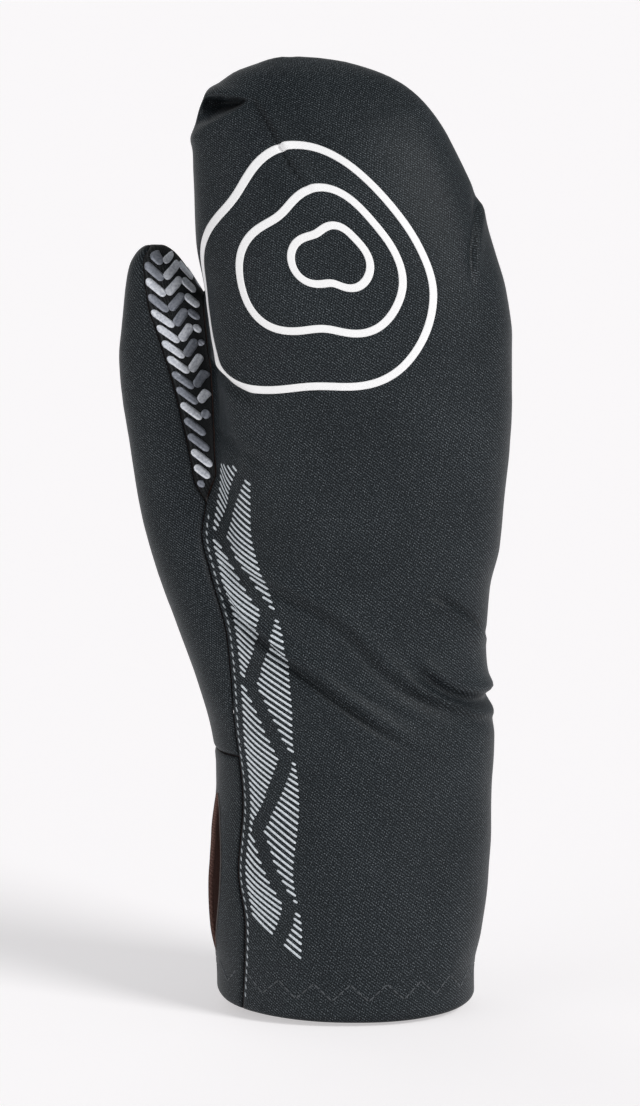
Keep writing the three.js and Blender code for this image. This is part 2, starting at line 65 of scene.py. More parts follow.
# Sections of the hand: height, left, right, back, palm and how square the section is
HAND = np.array([
    (0, -41.5, 41.7, -35, 35, 2.1),
    (9, -41.7, 41.6, -35.4, 34.8, 2.1),
    (21, -43.4, 44.2, -35.2, 34.4, 2.1),
    (36, -44.2, 46.4, -34.4, 33.8, 2.1),
    (52, -43.2, 47.3, -33.2, 33, 2.1),
    (68, -41.2, 47.5, -31.4, 31.8, 2.15),
    (84, -41.6, 48.2, -29.6, 30.6, 2.2),
    (100, -41.4, 46.4, -28.2, 29.6, 2.25),
    (115, -40.5, 45.2, -27.6, 29.1, 2.3),
    (131, -39.7, 46.4, -27.5, 29, 2.35),
    (146, -39.3, 49.8, -27.5, 29, 2.4),
    (162, -39.6, 50.9, -27.6, 29, 2.4),
    (177, -40.4, 52.4, -27.6, 28.8, 2.4),
    (193, -41.2, 53.2, -27.4, 28.4, 2.4),
    (212, -43.2, 53.2, -26.9, 27.8, 2.4),
    (227, -44.6, 51.2, -25.8, 27.2, 2.4),
    (242, -47.1, 46.9, -23.9, 26.5, 2.35),
    (257, -48, 41.9, -20.6, 25.6, 2.3),
    (273, -48.4, 34, -15, 24, 2.25),
    (281, -47, 29.1, -11, 22.9, 2.2),
    (288, -44.4, 23.2, -6.2, 21.4, 2.2),
    (292, -39.9, 18.1, -2.9, 20.4, 2.2),
    (295.6, -35, 11, 0.8, 18.5, 2.2),
    (298.6, -27.4, 2, 5.1, 15.3, 2.2),
    (300.3, -22.4, -7.4, 8.1, 12.2, 2.2),
    (300.9, -19.4, -14.8, 9.8, 10.2, 2),
])

# Sections of the thumb, with the same columns
THUMB = np.array([
    (76, -36, -24, -6, 12, 2),
    (84, -40.2, -24, -12, 18, 2),
    (97, -46, -24, -16, 21, 2.1),
    (113, -51.8, -24, -15, 23, 2.2),
    (129, -57.7, -25, -12.5, 24.5, 2.2),
    (145, -63, -27, -9, 26, 2.2),
    (160, -66.7, -30, -5.5, 27, 2.2),
    (176, -69.5, -34, -2.5, 28, 2.2),
    (191, -71.7, -39, 0, 28.4, 2.2),
    (205, -72.6, -42, 1, 28.4, 2.2),
    (215, -71.9, -43, 1.6, 27.8, 2.2),
    (222, -71.2, -44, 2.4, 27, 2.2),
    (229, -70.3, -47.8, 4, 25.4, 2.2),
    (234, -69.2, -51.1, 6.2, 23.4, 2.1),
    (238, -67, -54.3, 9, 20.6, 2),
    (240.2, -64.4, -57.4, 12, 17.6, 2),
    (240.9, -62.4, -59.8, 14.4, 15.4, 2),
])

# Seams as seen from the back: height and x. The seam between the back and the thumb's side runs from the
# cuff's edge to the foot of the thumb's gripping side, and on to the crease at FORK_Z. The other runs from
# that foot up the thumb.
BACK_SEAM = np.array([
    (0, -33), (27, -32.2), (44, -34.5), (66, -32.8), (90, -35.2), (118, -37.8), (138, -43), (150, -45.6),
    (160, -44.2),
])
THUMB_SEAM = np.array([
    (160, -44.2), (166.5, -47.9), (173, -49.1), (186, -52), (199, -55.4), (214, -60.3), (222, -63),
    (236, -64.6), (240.9, -62.4),
])
FOOT_X, FOOT_Z = -44.2, 160.0
FORK_Z = 168.6
THUMB_TIP_RIGHT = -50.0  # at the height of the thumb's tip, the thumb lies left of this and the hand right


def smoothstep(low, high, value):
    t = np.clip((value - low) / (high - low), 0, 1)
    return t * t * (3 - 2 * t)


def bisect(low, high, f, steps=26, rising=None):
    """The roots of a function of an array that changes sign between two arrays. Where rising is True and the
    function stays below zero, the higher end is taken."""
    low, high = np.array(low, float), np.array(high, float)
    if rising is None:
        rising = f(high) > f(low)
    for _ in range(steps):
        middle = (low + high) / 2
        above = (f(middle) > 0) == rising
        high = np.where(above, middle, high)
        low = np.where(above, low, middle)
    return (low + high) / 2


def running(steps, axis=0):
    """Sums along an axis, starting from 0."""
    zero = np.zeros_like(np.take(steps, [0], axis))
    return np.concatenate([zero, np.cumsum(steps, axis=axis)], axis)


def lengths_along(points, axis):
    """Lengths along the rows or the columns of a grid of points, starting from 0."""
    return running(np.linalg.norm(np.diff(points, axis=axis), axis=-1), axis)


def monotone(z, v):
    """A smooth curve through a column of a table, which never overshoots a row."""
    slope = np.diff(v) / np.diff(z)
    before, after = slope[:-1], slope[1:]
    turning = before * after <= 0
    total = np.where(turning, 1, before + after)
    tangent = np.concatenate([slope[:1], np.where(turning, 0, 2 * before * after / total), slope[-1:]])

    def curve(height):
        h = np.clip(height, z[0], z[-1])
        i = np.clip(np.searchsorted(z, h) - 1, 0, len(z) - 2)
        span = z[i + 1] - z[i]
        t = (h - z[i]) / span
        s = 1 - t
        ends = v[i] * (1 + 2 * t) * s * s + v[i + 1] * t * t * (3 - 2 * t)
        return ends + span * t * s * (tangent[i] * s - tangent[i + 1] * t)

    return curve


class Tube:
    """A tapering tube given by a table of sections."""

    def __init__(self, table):
        self.curves = [monotone(table[:, 0], table[:, k]) for k in range(1, 6)]
        self.bottom, self.top = table[0, 0], table[-1, 0]

    def section(self, z):
        """Centre x and y, half sizes and squareness at heights."""
        left, right, back, palm, square = [curve(z) for curve in self.curves]
        return (left + right) / 2, (back + palm) / 2, (right - left) / 2, (palm - back) / 2, square

    def outside(self, x, y, z, section=None):
        """How far points lie outside the tube, measured level and away from its centre line."""
        cx, cy, a, b, square = section or self.section(z)
        dx, dy = x - cx, y - cy
        share = (np.abs(dx / a) ** square + np.abs(dy / b) ** square) ** (1 / square)
        level = np.hypot(dx, dy) * (1 - 1 / np.maximum(share, 1e-6))
        return level + 3 * (np.maximum(0, z - self.top) + np.maximum(0, self.bottom - z))

    def point(self, z, angle, out=0.0):
        """Points at angles round the tube, moved out level by a distance."""
        cx, cy, a, b, square = self.section(z)
        c, s = np.cos(np.radians(angle)), np.sin(np.radians(angle))
        dx = a * np.sign(c) * np.abs(c) ** (2 / square)
        dy = b * np.sign(s) * np.abs(s) ** (2 / square)
        grow = 1 + out / np.hypot(dx, dy)
        return np.stack([cx + dx * grow, cy + dy * grow, z + 0 * dx], -1)

    def angle(self, p):
        """The angles round the tube at which points lie, from 0 to 360."""
        cx, cy, a, b, square = self.section(p[..., 2])
        dx, dy = (p[..., 0] - cx) / a, (p[..., 1] - cy) / b
        c = np.sign(dx) * np.abs(dx) ** (square / 2)
        s = np.sign(dy) * np.abs(dy) ** (square / 2)
        return np.degrees(np.arctan2(s, c)) % 360


hand = Tube(HAND)
thumb = Tube(THUMB)


def outside_all(x, y, z, sections=(None, None)):
    """How far points lie outside the mitten: the nearer tube, with the hollow between the two rounded."""
    from_hand = hand.outside(x, y, z, sections[0])
    from_thumb = thumb.outside(x, y, z, sections[1])
    soft = np.maximum(0, BLEND - np.abs(from_hand - from_thumb)) / BLEND
    return np.minimum(from_hand, from_thumb) - soft * soft * BLEND / 4


def level_slopes(x, y, z, sections, h):
    """How fast the distance outside the mitten grows along x and along y."""
    return (
        (outside_all(x + h, y, z, sections) - outside_all(x - h, y, z, sections)) / (2 * h),
        (outside_all(x, y + h, z, sections) - outside_all(x, y - h, z, sections)) / (2 * h),
    )


def on_mitten(tube, z, angle, near=False):
    """Points of the outer surface at angles round one of the tubes. near says which lie on this tube's side
    of the crease between the two, where the surface is never more than MELT outside the tube."""
    z, angle, near = np.broadcast_arrays(np.asarray(z, float), np.asarray(angle, float), near)
    start = tube.point(z, angle)
    sections = (hand.section(z), thumb.section(z))
    cx, cy = (sections[0] if tube is hand else sections[1])[:2]
    dx, dy = start[..., 0] - cx, start[..., 1] - cy
    reach = np.hypot(dx, dy)
    ux, uy = dx / reach, dy / reach

    def beyond(r):
        return outside_all(cx + ux * r, cy + uy * r, z, sections)

    step, hair = 0.3, 1e-6
    far = reach + hair
    inside = (beyond(far) < 0) & ~near
    while inside.any():
        far = np.where(inside, far + step, far)
        inside = inside & (beyond(far) < 0)
    low, high = np.where(near, reach - hair, far - step), np.where(near, reach + MELT, far)
    r = bisect(low, high, beyond, steps=24, rising=True)
    return np.stack([cx + ux * r, cy + uy * r, z + 0 * r], -1)


def normals_at(p):
    """The outer surface's normals. On the very tips of the two tubes they are straight up."""
    x, y, z = p[..., 0], p[..., 1], p[..., 2]
    h = 0.25
    low, high = np.maximum(0, z - h), np.minimum(hand.top, z + h)
    here = (hand.section(z), thumb.section(z))
    rise = (outside_all(x, y, high) - outside_all(x, y, low)) / (high - low)
    n = np.stack([*level_slopes(x, y, z, here, h), rise], -1)
    on_thumb = x < THUMB_TIP_RIGHT
    n[(z > hand.top - 0.01) | ((np.abs(z - thumb.top) < 0.01) & on_thumb)] = (0, 0, 1)
    return n / np.linalg.norm(n, axis=-1, keepdims=True)


# Seams, as functions of height
back_seam_x = monotone(BACK_SEAM[:, 0], BACK_SEAM[:, 1])
thumb_seam_x = monotone(THUMB_SEAM[:, 0], THUMB_SEAM[:, 1])


def seen_from_back(x, z):
    """Points of the outer surface that show at x and z when the mitten is seen from the back of the hand."""
    sections = (hand.section(z), thumb.section(z))
    before_all, step = -45.0, 0.2
    y = np.full(z.shape, before_all)
    out = outside_all(x, y, z, sections) > 0
    while out.any():
        y = np.where(out, y + step, y)
        out = out & (outside_all(x, y, z, sections) > 0)
    return np.stack([x, bisect(y - step, y, lambda deep: outside_all(x, deep, z, sections)), z], -1)


def thumb_front(z):
    """The seam along the thumb, on its back. At the tip it stays on the thumb."""
    cx, _, a, _, _ = thumb.section(z)
    return seen_from_back(np.maximum(thumb_seam_x(z), cx - 0.8 * a), z)


def thumb_palm_angle(z):
    rise = smoothstep(THUMB_SEAM_FROM, THUMB_SEAM_TO, z)
    return THUMB_SEAM_LOW + (THUMB_SEAM_HIGH - THUMB_SEAM_LOW) * rise


def beside_thumb(z, angle):
    p = hand.point(z, angle, MELT)
    return thumb.outside(p[..., 0], p[..., 1], p[..., 2]) - MELT


def beside_hand(p):
    return hand.outside(p[..., 0], p[..., 1], p[..., 2]) - MELT


def crease(z, on_back):
    """The crease between hand and thumb, on the back or on the palm side."""
    angles = np.arange(130, 220.1, 0.5)
    deepest = angles[np.argmin(beside_thumb(z[:, None], angles[None, :]), axis=1)]
    far = np.full(z.shape, 268.0 if on_back else 92.0)
    return hand.point(z, bisect(deepest, far, lambda angle: beside_thumb(z, angle)), MELT)


FORK_X = float(crease(np.array([FORK_Z]), True)[0, 0])
CREASE_END_Z = float(bisect(
    np.array([CROSS_SEAM_Z]), np.array([150.0]),
    lambda z: beside_hand(thumb.point(z, thumb_palm_angle(z), MELT)))[0])


def back_seam(z):
    """The seam of the back on the thumb's side, up to the fork. Above its foot it slants to the crease."""
    over = np.clip((z - FOOT_Z) / (FORK_Z - FOOT_Z), 0, 1)
    return seen_from_back(back_seam_x(z) + (FORK_X - FOOT_X) * over, z)


front_heights = np.linspace(thumb.top, FOOT_Z, 200)
front_angles = thumb.angle(thumb_front(front_heights)) - 360


def grip_angle(share, z):
    """Angles round the thumb at shares of the way across its gripping side, from the back to the palm."""
    front = np.interp(z, front_heights[::-1], front_angles[::-1])
    return front + (thumb_palm_angle(z) - front) * share


def grip_edge(shares):
    """Heights of the lower edge of the thumb's gripping side: the slanting seam, then the crease."""
    slant = (FORK_Z - FOOT_Z) / (FORK_X - FOOT_X)

    def above(z):
        p = thumb.point(z, grip_angle(shares.reshape(-1, *[1] * (z.ndim - 1)), z), MELT)
        above_seam = np.where(p[..., 1] < 0, z - FOOT_Z - (p[..., 0] - FOOT_X) * slant, 1e3)
        return np.minimum(beside_hand(p), above_seam)

    z = np.linspace(thumb.top - 8, CREASE_END_Z, 300)
    below = above(np.broadcast_to(z, (len(shares), 300))) <= 0
    first = np.where(below.any(1), np.maximum(np.argmax(below, axis=1), 1), 299)
    edge = bisect(z[first], z[first - 1], above)
    edge[shares <= 0] = FOOT_Z
    edge[shares >= 1] = CREASE_END_Z
    return edge


edge_shares = np.linspace(0, 1, 241)
edge_heights = grip_edge(edge_shares)
CROTCH_Z = float(edge_heights.max())
edge_points = thumb.point(edge_heights, grip_angle(edge_shares, edge_heights), MELT)
CROTCH_ANGLE = float(hand.angle(edge_points[np.argmax(edge_heights)]))
INDEX_SEAM_TURNS = 40.0  # above the crotch, the seam reaches the index finger's side over this height


def hand_left(z, on_back):
    """The left edge of the back or of the palm, from the cuff to the finger tips."""
    split = FORK_Z if on_back else CREASE_END_Z
    edge = np.empty((len(z), 3))
    low, high = z <= split, z >= CROTCH_Z
    middle = ~low & ~high
    if on_back:
        edge[low] = back_seam(z[low])
    else:
        edge[low] = on_mitten(thumb, z[low], thumb_palm_angle(z[low]))
    edge[middle] = crease(z[middle], on_back)
    share = smoothstep(CROTCH_Z, CROTCH_Z + INDEX_SEAM_TURNS, z[high])
    edge[high] = on_mitten(hand, z[high], CROTCH_ANGLE + (INDEX_SEAM - CROTCH_ANGLE) * share, near=True)
    return edge


# Folds of the back of the hand. Each is a step along a smooth line through points (x, z): on the left of the
# line's own direction the cloth rises to a crest over a wall and then runs out, and on its right it dips into
# a groove.
FOLDS = [
    # name, points, half width of the wall, crest, run, groove
    ("wrist", [(-44, 144), (-38, 133), (-32, 124), (-25, 118.5), (-18, 112.5), (-10, 107), (0, 99.5),
               (10, 92.5), (18, 87.5), (28, 81)], 1.3, 2.5, 3.2, 1.5),
    ("wrist soft", [(-44, 145.5), (-26, 137.5), (-10, 130), (0, 123.5), (5, 118.5), (10, 112.4), (16, 107),
                    (22, 102.8), (32.5, 97.2), (43, 92.4), (58, 87.5)], 1.8, 1.9, 4.0, 1.1),
    ("wrist side", [(20, 113), (28, 106.8), (33, 103), (40, 100), (47, 98.8), (60, 99)], 1.9, 2.7, 3.4, 2.3),
    ("wrist side ridge", [(17, 106.5), (22, 102.8), (27, 99.8), (32.5, 97.2), (43, 92.4), (49, 90.2)],
     0.9, 1.8, 1.5, 0.4),
    ("heel", [(46, 114.5), (44, 117.5), (42.2, 120.6), (38.5, 124.4), (35, 127.4), (31.4, 129.8),
              (25, 132.5)], 0.7, 2.5, 3.2, 0.9),
    ("fine", [(2, 105), (9.5, 100.3), (17, 96.8), (23, 92.5)], 0.6, 0.5, 2.2, 0.35),
    ("tip crease", [(-33, 290.5), (-28.5, 287), (-24.6, 281.5), (-19.3, 272.3), (-14.6, 265), (-8, 257)],
     0.5, 1.0, 3.5, 0.9),
    ("right crease", [(42, 262), (42.4, 253), (41.2, 246), (40.4, 239), (41, 229)], 0.8, 1.3, 2.4, 0.9),
    ("crotch", [(-43, 206), (-39, 199), (-37.4, 189), (-34.6, 179), (-31, 168)], 2.2, 0.6, 5.0, 1.3),
    ("thumb dent", [(-45, 206), (-38, 201.5), (-32, 198), (-26, 194)], 1.5, 1.3, 3.2, 1.5),
    ("thumb dent low", [(-44, 185), (-37, 182), (-30, 179), (-22, 175)], 1.7, 0.9, 3.8, 0.9),
    ("cuff", [(36, 62), (30, 42), (31, 22), (36, 2)], 4.0, 0.8, 9.0, 0.3),
    ("cuff left", [(-14, 74), (-18, 48), (-16, 26), (-21, 2)], 5.0, 0.5, 9.0, 0.3),
]

STEP_SHARPNESS, DIP_SPREAD = 1.6, 1.3
# The cloth's soft unevenness: height, size of its features and seed
SLACK = [(0.55, 34, 1), (0.16, 13, 2), (0.05, 5.5, 3)]

# The tuck at the finger tips' left corner: a wedge pushed in between two flaps with lips. It opens from a tip
# on the right to the corner on the left. above, below and the spreads place the lips beside the wedge.
TUCK = {
    "left": -47.5, "right": -29.5, "low_left": 278.0, "top_left": 288.8, "tip_z": 287.2,
    "depth": 9.0, "lip": 1.0, "above": 1.6, "upper_spread": 2.0, "below": 2.6, "lower_spread": 2.6,
}
TUCK_WAY = np.array([0.25, 0.97, -0.1])
# Where the cloth is thinned for the tuck: middle, half width and half height of an oval, and what it keeps
THINNED_X, THINNED_Z, THINNED_WIDE, THINNED_HIGH, THINNED_TO = TUCK["left"], 284.0, 22.0, 12.0, 0.06


def smooth_line(points, count=40):
    """Points along a Catmull-Rom curve."""
    p = np.array(points, float)
    p = np.vstack([2 * p[0] - p[1], p, 2 * p[-1] - p[-2]])
    t = np.linspace(0, len(p) - 3 - 1e-9, count)
    i = t.astype(int)
    f = (t - i)[:, None]
    a, b, c, d = p[i], p[i + 1], p[i + 2], p[i + 3]
    return 0.5 * (2 * b + (c - a) * f + (2 * a - 5 * b + 4 * c - d) * f**2 + (3 * b - a - 3 * c + d) * f**3)


def beside_line(x, z, line):
    """Signed distances from a line, positive on its left, and shares of the way along it."""
    best = np.full(x.shape, 1e9)
    signed = np.zeros(x.shape)
    along = np.zeros(x.shape)
    steps = np.diff(line, axis=0)
    lengths = np.hypot(steps[:, 0], steps[:, 1])
    starts = running(lengths)
    last = len(steps) - 1
    for k, ((sx, sz), length) in enumerate(zip(steps, lengths)):
        dx, dz = x - line[k, 0], z - line[k, 1]
        t = (dx * sx + dz * sz) / length**2
        held = np.clip(t, 0, 1)
        distance = np.hypot(dx - held * sx, dz - held * sz)
        closer = distance < best
        best = np.where(closer, distance, best)
        signed = np.where(closer, np.sign(sx * dz - sz * dx) * distance, signed)
        run_on = np.where((k == 0) & (t < 0) | (k == last) & (t > 1), t, held)
        along = np.where(closer, (starts[k] + run_on * length) / starts[-1], along)
    return signed, along


FOLD_LINES = [(smooth_line(points), *sizes) for _, points, *sizes in FOLDS]


def field(p, scale, seed):
    """Smooth noise, about -1 to 1, with features of that size."""
    shift = Vector((seed * 17.3, seed * 5.1, -seed * 9.7))
    flat = p.reshape(-1, 3) / scale
    return np.array([noise.noise(Vector(q) + shift) for q in flat.tolist()]).reshape(p.shape[:-1])


def pushed(p, n):
    """How the cloth stands off the smooth surface: folds on the back, the tuck, and soft waves all over."""
    x, z = p[..., 0], p[..., 2]
    on_back = 1 - smoothstep(-0.15, 0.5, n[..., 1])
    out = np.zeros(x.shape)
    for line, wall, crest, run, groove in FOLD_LINES:
        signed, along = beside_line(x, z, line)
        ends = smoothstep(-0.04, 0.3, along) * (1 - smoothstep(0.7, 1.04, along))
        rise = (1 + np.tanh(STEP_SHARPNESS * signed / wall)) / 2
        step = rise * np.exp(-((np.maximum(signed, 0) / run) ** STEP_SHARPNESS))
        dip = np.exp(-(((signed + wall) / (DIP_SPREAD * wall)) ** 2))
        out += ends * (crest * step - groove * dip)
    out *= on_back
    out += sum(height * field(p, size, seed) for height, size, seed in SLACK)
    lip, deep = tuck(x, z, n)
    return n * (out + lip)[..., None] + TUCK_WAY * deep[..., None]


def tuck(x, z, n):
    """The tuck at the finger tips: how far its lips stand out, and how far its wedge is pushed in."""
    across = np.clip((TUCK["right"] - x) / (TUCK["right"] - TUCK["left"]), 0, 1.15)
    upper = TUCK["tip_z"] + (TUCK["top_left"] - TUCK["tip_z"]) * across
    lower = TUCK["tip_z"] + (TUCK["low_left"] - TUCK["tip_z"]) * across
    high = np.maximum(upper - lower, 0.01)
    down = (upper - z) / high
    wedge = smoothstep(0.0, 0.16, down) * (1 - smoothstep(0.3, 1.12, down))
    deep = TUCK["depth"] * smoothstep(0, 0.35, across) * smoothstep(0.4, 2.2, high)
    over = np.exp(-(((z - upper - TUCK["above"]) / TUCK["upper_spread"]) ** 2)) * smoothstep(0, 0.3, across)
    under = np.exp(-(((z - lower + TUCK["below"]) / TUCK["lower_spread"]) ** 2)) * smoothstep(0, 0.3, across)
    lip = TUCK["lip"] * (0.7 * over + 0.8 * under) * (1 - smoothstep(0.1, 0.6, n[..., 1]))
    cx, _, a, b, square = hand.section(z)
    level = (1 - np.minimum(1, np.abs((x - cx) / a)) ** square) ** (1 / square)
    room = 2 * b * level - 2 * CLOTH - 1
    deep = np.minimum(deep, 0.75 * np.maximum(room, 0))
    return lip, deep * wedge * (1 - smoothstep(-0.45, 0, n[..., 1]))


def thinned(x, z):
    """How much of its thickness the cloth keeps: little in the tuck, where it would run into itself."""
    near = ((x - THINNED_X) / THINNED_WIDE) ** 2 + ((z - THINNED_Z) / THINNED_HIGH) ** 2
    return THINNED_TO + (1 - THINNED_TO) * smoothstep(0.7, 1.2, near)


def slanted(p):
    """The edge of the cuff dips towards the back of the hand and the little finger."""
    moved = p.copy()
    near_edge = 1 - smoothstep(0, SLANT_FADES, p[..., 2])
    moved[..., 2] += (SLANT_BACK * p[..., 1] - SLANT_SIDE * p[..., 0]) * near_edge
    return moved


def blended(u, level, runs, places, zeros):
    """The places at lengths u, found along the runs of the two levels next to each and then blended."""
    i = np.clip(level.astype(int), 0, len(runs) - 2)
    f = level - i
    low, high = [
        np.array([np.interp(length + zeros[k], runs[k], places) for length, k in zip(u, near)])
        for near in (i, i + 1)]
    return low * (1 - f) + high * f


class Patch:
    """A panel's outer face as a grid of points: rows run up the panel and columns across it. rolled names the
    edges that turn in at a seam, depth is how far the face lies inside the mitten's surface, and way is -1
    where the columns run clockwise seen from above. The cloth is measured from the middle of a tube along an
    axis, both given by centre, or else from the middle column."""

    def __init__(self, points, rolled=(), depth=0.0, centre=None, way=1):
        self.smooth = points
        self.way = way
        self.normals = normals_at(points)
        self.rows, self.columns = points.shape[:2]
        place = points + pushed(points, self.normals) - self.normals * np.asarray(depth)[..., None]
        self.across = lengths_along(points, 1)
        up = lengths_along(points, 0)
        self.zero = np.array([self.crossing(row, run, centre) for row, run in zip(points, self.across)])
        from_edge = {
            "left": self.across,
            "right": self.across[:, -1:] - self.across,
            "bottom": up,
            "top": up[-1:] - up,
        }
        turned = np.zeros((self.rows, self.columns))
        for edge in rolled:
            turned = np.maximum(turned, 1 - np.clip(from_edge[edge] / ROLL_WIDTH, 0, 1))
        place = place - self.normals * (ROLL_DEPTH * turned**2)[..., None]
        self.place = self.stepped_back(place, rolled)
        self.height = self.measured_up(points)
        if rolled:
            self.normals = self.facing(place)

    def measured_up(self, place):
        """The length up the cloth to every row, along the line from which the rows are measured."""
        line = np.array([
            [np.interp(zero, run, row[:, axis]) for axis in range(3)]
            for zero, run, row in zip(self.zero, self.across, place)])
        return lengths_along(line, 0)

    def facing(self, place):
        """Normals of the displaced face. Where the grid closes up at a tip they are the smooth ones."""
        cross = np.cross(np.gradient(place, axis=1), np.gradient(place, axis=0))
        size = np.linalg.norm(cross, axis=-1, keepdims=True)
        cross = cross / np.maximum(size, 1e-9)
        cross *= np.sign((cross * self.normals).sum())
        tucked = (thinned(place[..., 0], place[..., 2]) < 0.99)[..., None]
        true = (size > 1e-3) & (tucked | ((cross * self.normals).sum(-1, keepdims=True) > 0.2))
        return np.where(true, cross, self.normals)

    def crossing(self, row, run, centre):
        """How far along a row the cloth is measured from."""
        if centre is None:
            return run[len(run) // 2]
        tube, axis = centre
        side = row[:, axis] - tube.section(row[:, 2])[axis]
        k = int(np.argmax(side[:-1] * side[1:] <= 0))
        share = side[k] / (side[k] - side[k + 1] + 1e-9)
        return run[k] + (run[k + 1] - run[k]) * share

    def stepped_back(self, place, edges):
        """The grid with its seam edges drawn in by half the seam's gap."""
        drawn = place.copy()
        pairs = {
            "left": ((slice(None), 0), (slice(None), 1)),
            "right": ((slice(None), -1), (slice(None), -2)),
            "bottom": ((0,), (1,)),
            "top": ((-1,), (-2,)),
        }
        for edge in edges:
            rim, inner = pairs[edge]
            way = place[inner] - place[rim]
            length = np.linalg.norm(way, axis=-1, keepdims=True)
            drawn[rim] += way * np.minimum(0.5, SEAM_GAP / 2 / np.maximum(length, 1e-6))
        return drawn

    def sample(self, row, column):
        """Points of the displaced face, with normals, at fractions of rows and columns."""
        row = np.clip(row, 0, self.rows - 1.001)
        column = np.clip(column, 0, self.columns - 1.001)
        i, j = row.astype(int), column.astype(int)
        s, t = (row - i)[..., None], (column - j)[..., None]
        found = []
        for grid in (self.place, self.normals):
            low = grid[i, j] * (1 - t) + grid[i, j + 1] * t
            high = grid[i + 1, j] * (1 - t) + grid[i + 1, j + 1] * t
            found.append(low * (1 - s) + high * s)
        return found

    def at(self, u, z):
        """Fractions of rows and columns at lengths u from the middle and heights z, for level rows."""
        row = np.interp(z, self.smooth[:, 0, 2], np.arange(self.rows))
        return row, blended(u, row, self.across, np.arange(self.columns), self.zero)

    def edges(self, z):
        """The lengths from the middle at which the panel starts and ends, at heights."""
        level = self.smooth[:, 0, 2]
        return np.interp(z, level, -self.zero), np.interp(z, level, self.across[:, -1] - self.zero)


def make_object(name, vertices, faces, materials, cloth=None, face_materials=None, smooth=True):
    """A mesh object from millimetres, with the cloth's own flat coordinates as an attribute."""
    mesh = bpy.data.meshes.new(name)
    mesh.from_pydata((np.asarray(vertices) * MM).tolist(), [], faces)
    for material in materials:
        mesh.materials.append(material)
    if face_materials is not None:
        mesh.polygons.foreach_set("material_index", np.asarray(face_materials, np.int32))
    mesh.polygons.foreach_set("use_smooth", np.array(np.broadcast_to(smooth, len(mesh.polygons))))
    if cloth is not None:
        flat = mesh.attributes.new("cloth", "FLOAT_VECTOR", "POINT")
        flat.data.foreach_set("vector", np.asarray(cloth, np.float32).ravel())
    mesh.update()
    piece = bpy.data.objects.new(name, mesh)
    bpy.context.scene.collection.objects.link(piece)
    return piece


def dress(piece, node_name):
    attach(piece, "root")
    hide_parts(node_name)


def panel(name, node_name, patch, materials, keep=None, ring=False, thickness=CLOTH):
    """A panel of cloth: the patch, its inner face, and the rims between. keep says which cells are cloth, and
    ring that the last column joins the first."""
    rows, columns = patch.rows, patch.columns
    outer = slanted(patch.place).reshape(-1, 3)
    thin = thinned(patch.smooth[..., 0], patch.smooth[..., 2]) * thickness
    inner = slanted(patch.place - patch.normals * thin[..., None]).reshape(-1, 3)
    along = np.broadcast_to(patch.height[:, None], patch.across.shape)
    flat = np.stack([patch.way * (patch.across - patch.zero[:, None]), along], -1)
    flat = np.concatenate([flat, np.zeros((rows, columns, 1))], -1).reshape(-1, 3)
    i, j = np.meshgrid(np.arange(rows - 1), np.arange(columns if ring else columns - 1), indexing="ij")
    if keep is not None:
        kept = keep(i, j)
        i, j = i[kept], j[kept]
    i, j = i.ravel(), j.ravel()
    next_j = (j + 1) % columns
    low, high = i * columns, (i + 1) * columns
    quads = np.stack([low + j, low + next_j, high + next_j, high + j], 1)
    sides = np.concatenate([quads[:, [0, 1]], quads[:, [1, 2]], quads[:, [2, 3]], quads[:, [3, 0]]])
    keys = sides[:, 0] * (rows * columns) + sides[:, 1]
    twins = sides[:, 1] * (rows * columns) + sides[:, 0]
    rim = sides[~np.isin(keys, twins)]
    count = rows * columns
    faces = np.concatenate([
        quads,
        quads[:, ::-1] + count,
        np.stack([rim[:, 1], rim[:, 0], rim[:, 0] + count, rim[:, 1] + count], 1),
    ])
    lined = (thin.ravel()[quads[:, 0]] > 0.99 * thickness).astype(int)
    face_materials = np.concatenate([np.zeros(len(quads), int), lined, np.full(len(rim), 2)])
    vertices = np.concatenate([outer, inner])
    used = np.unique(faces)
    renamed = np.zeros(len(vertices), int)
    renamed[used] = np.arange(len(used))
    faces = renamed[faces]
    vertices, flat = vertices[used], np.concatenate([flat, flat + (thickness, 0, 0)])[used]
    corner = vertices[faces[:, 0]]
    volume = np.einsum("ij,ij->i", corner, np.cross(vertices[faces[:, 1]], vertices[faces[:, 2]])).sum()
    volume += np.einsum("ij,ij->i", corner, np.cross(vertices[faces[:, 2]], vertices[faces[:, 3]])).sum()
    if volume < 0:
        faces = faces[:, ::-1]
    dress(make_object(name, vertices, faces.tolist(), materials, flat, face_materials), node_name)


def even_shares(count):
    """Shares of a row's length from 0 to 1, closer together at its two rolled edges."""
    t = np.linspace(0, 1, count)
    return t - 0.5 * np.sin(2 * np.pi * t) / (2 * np.pi)


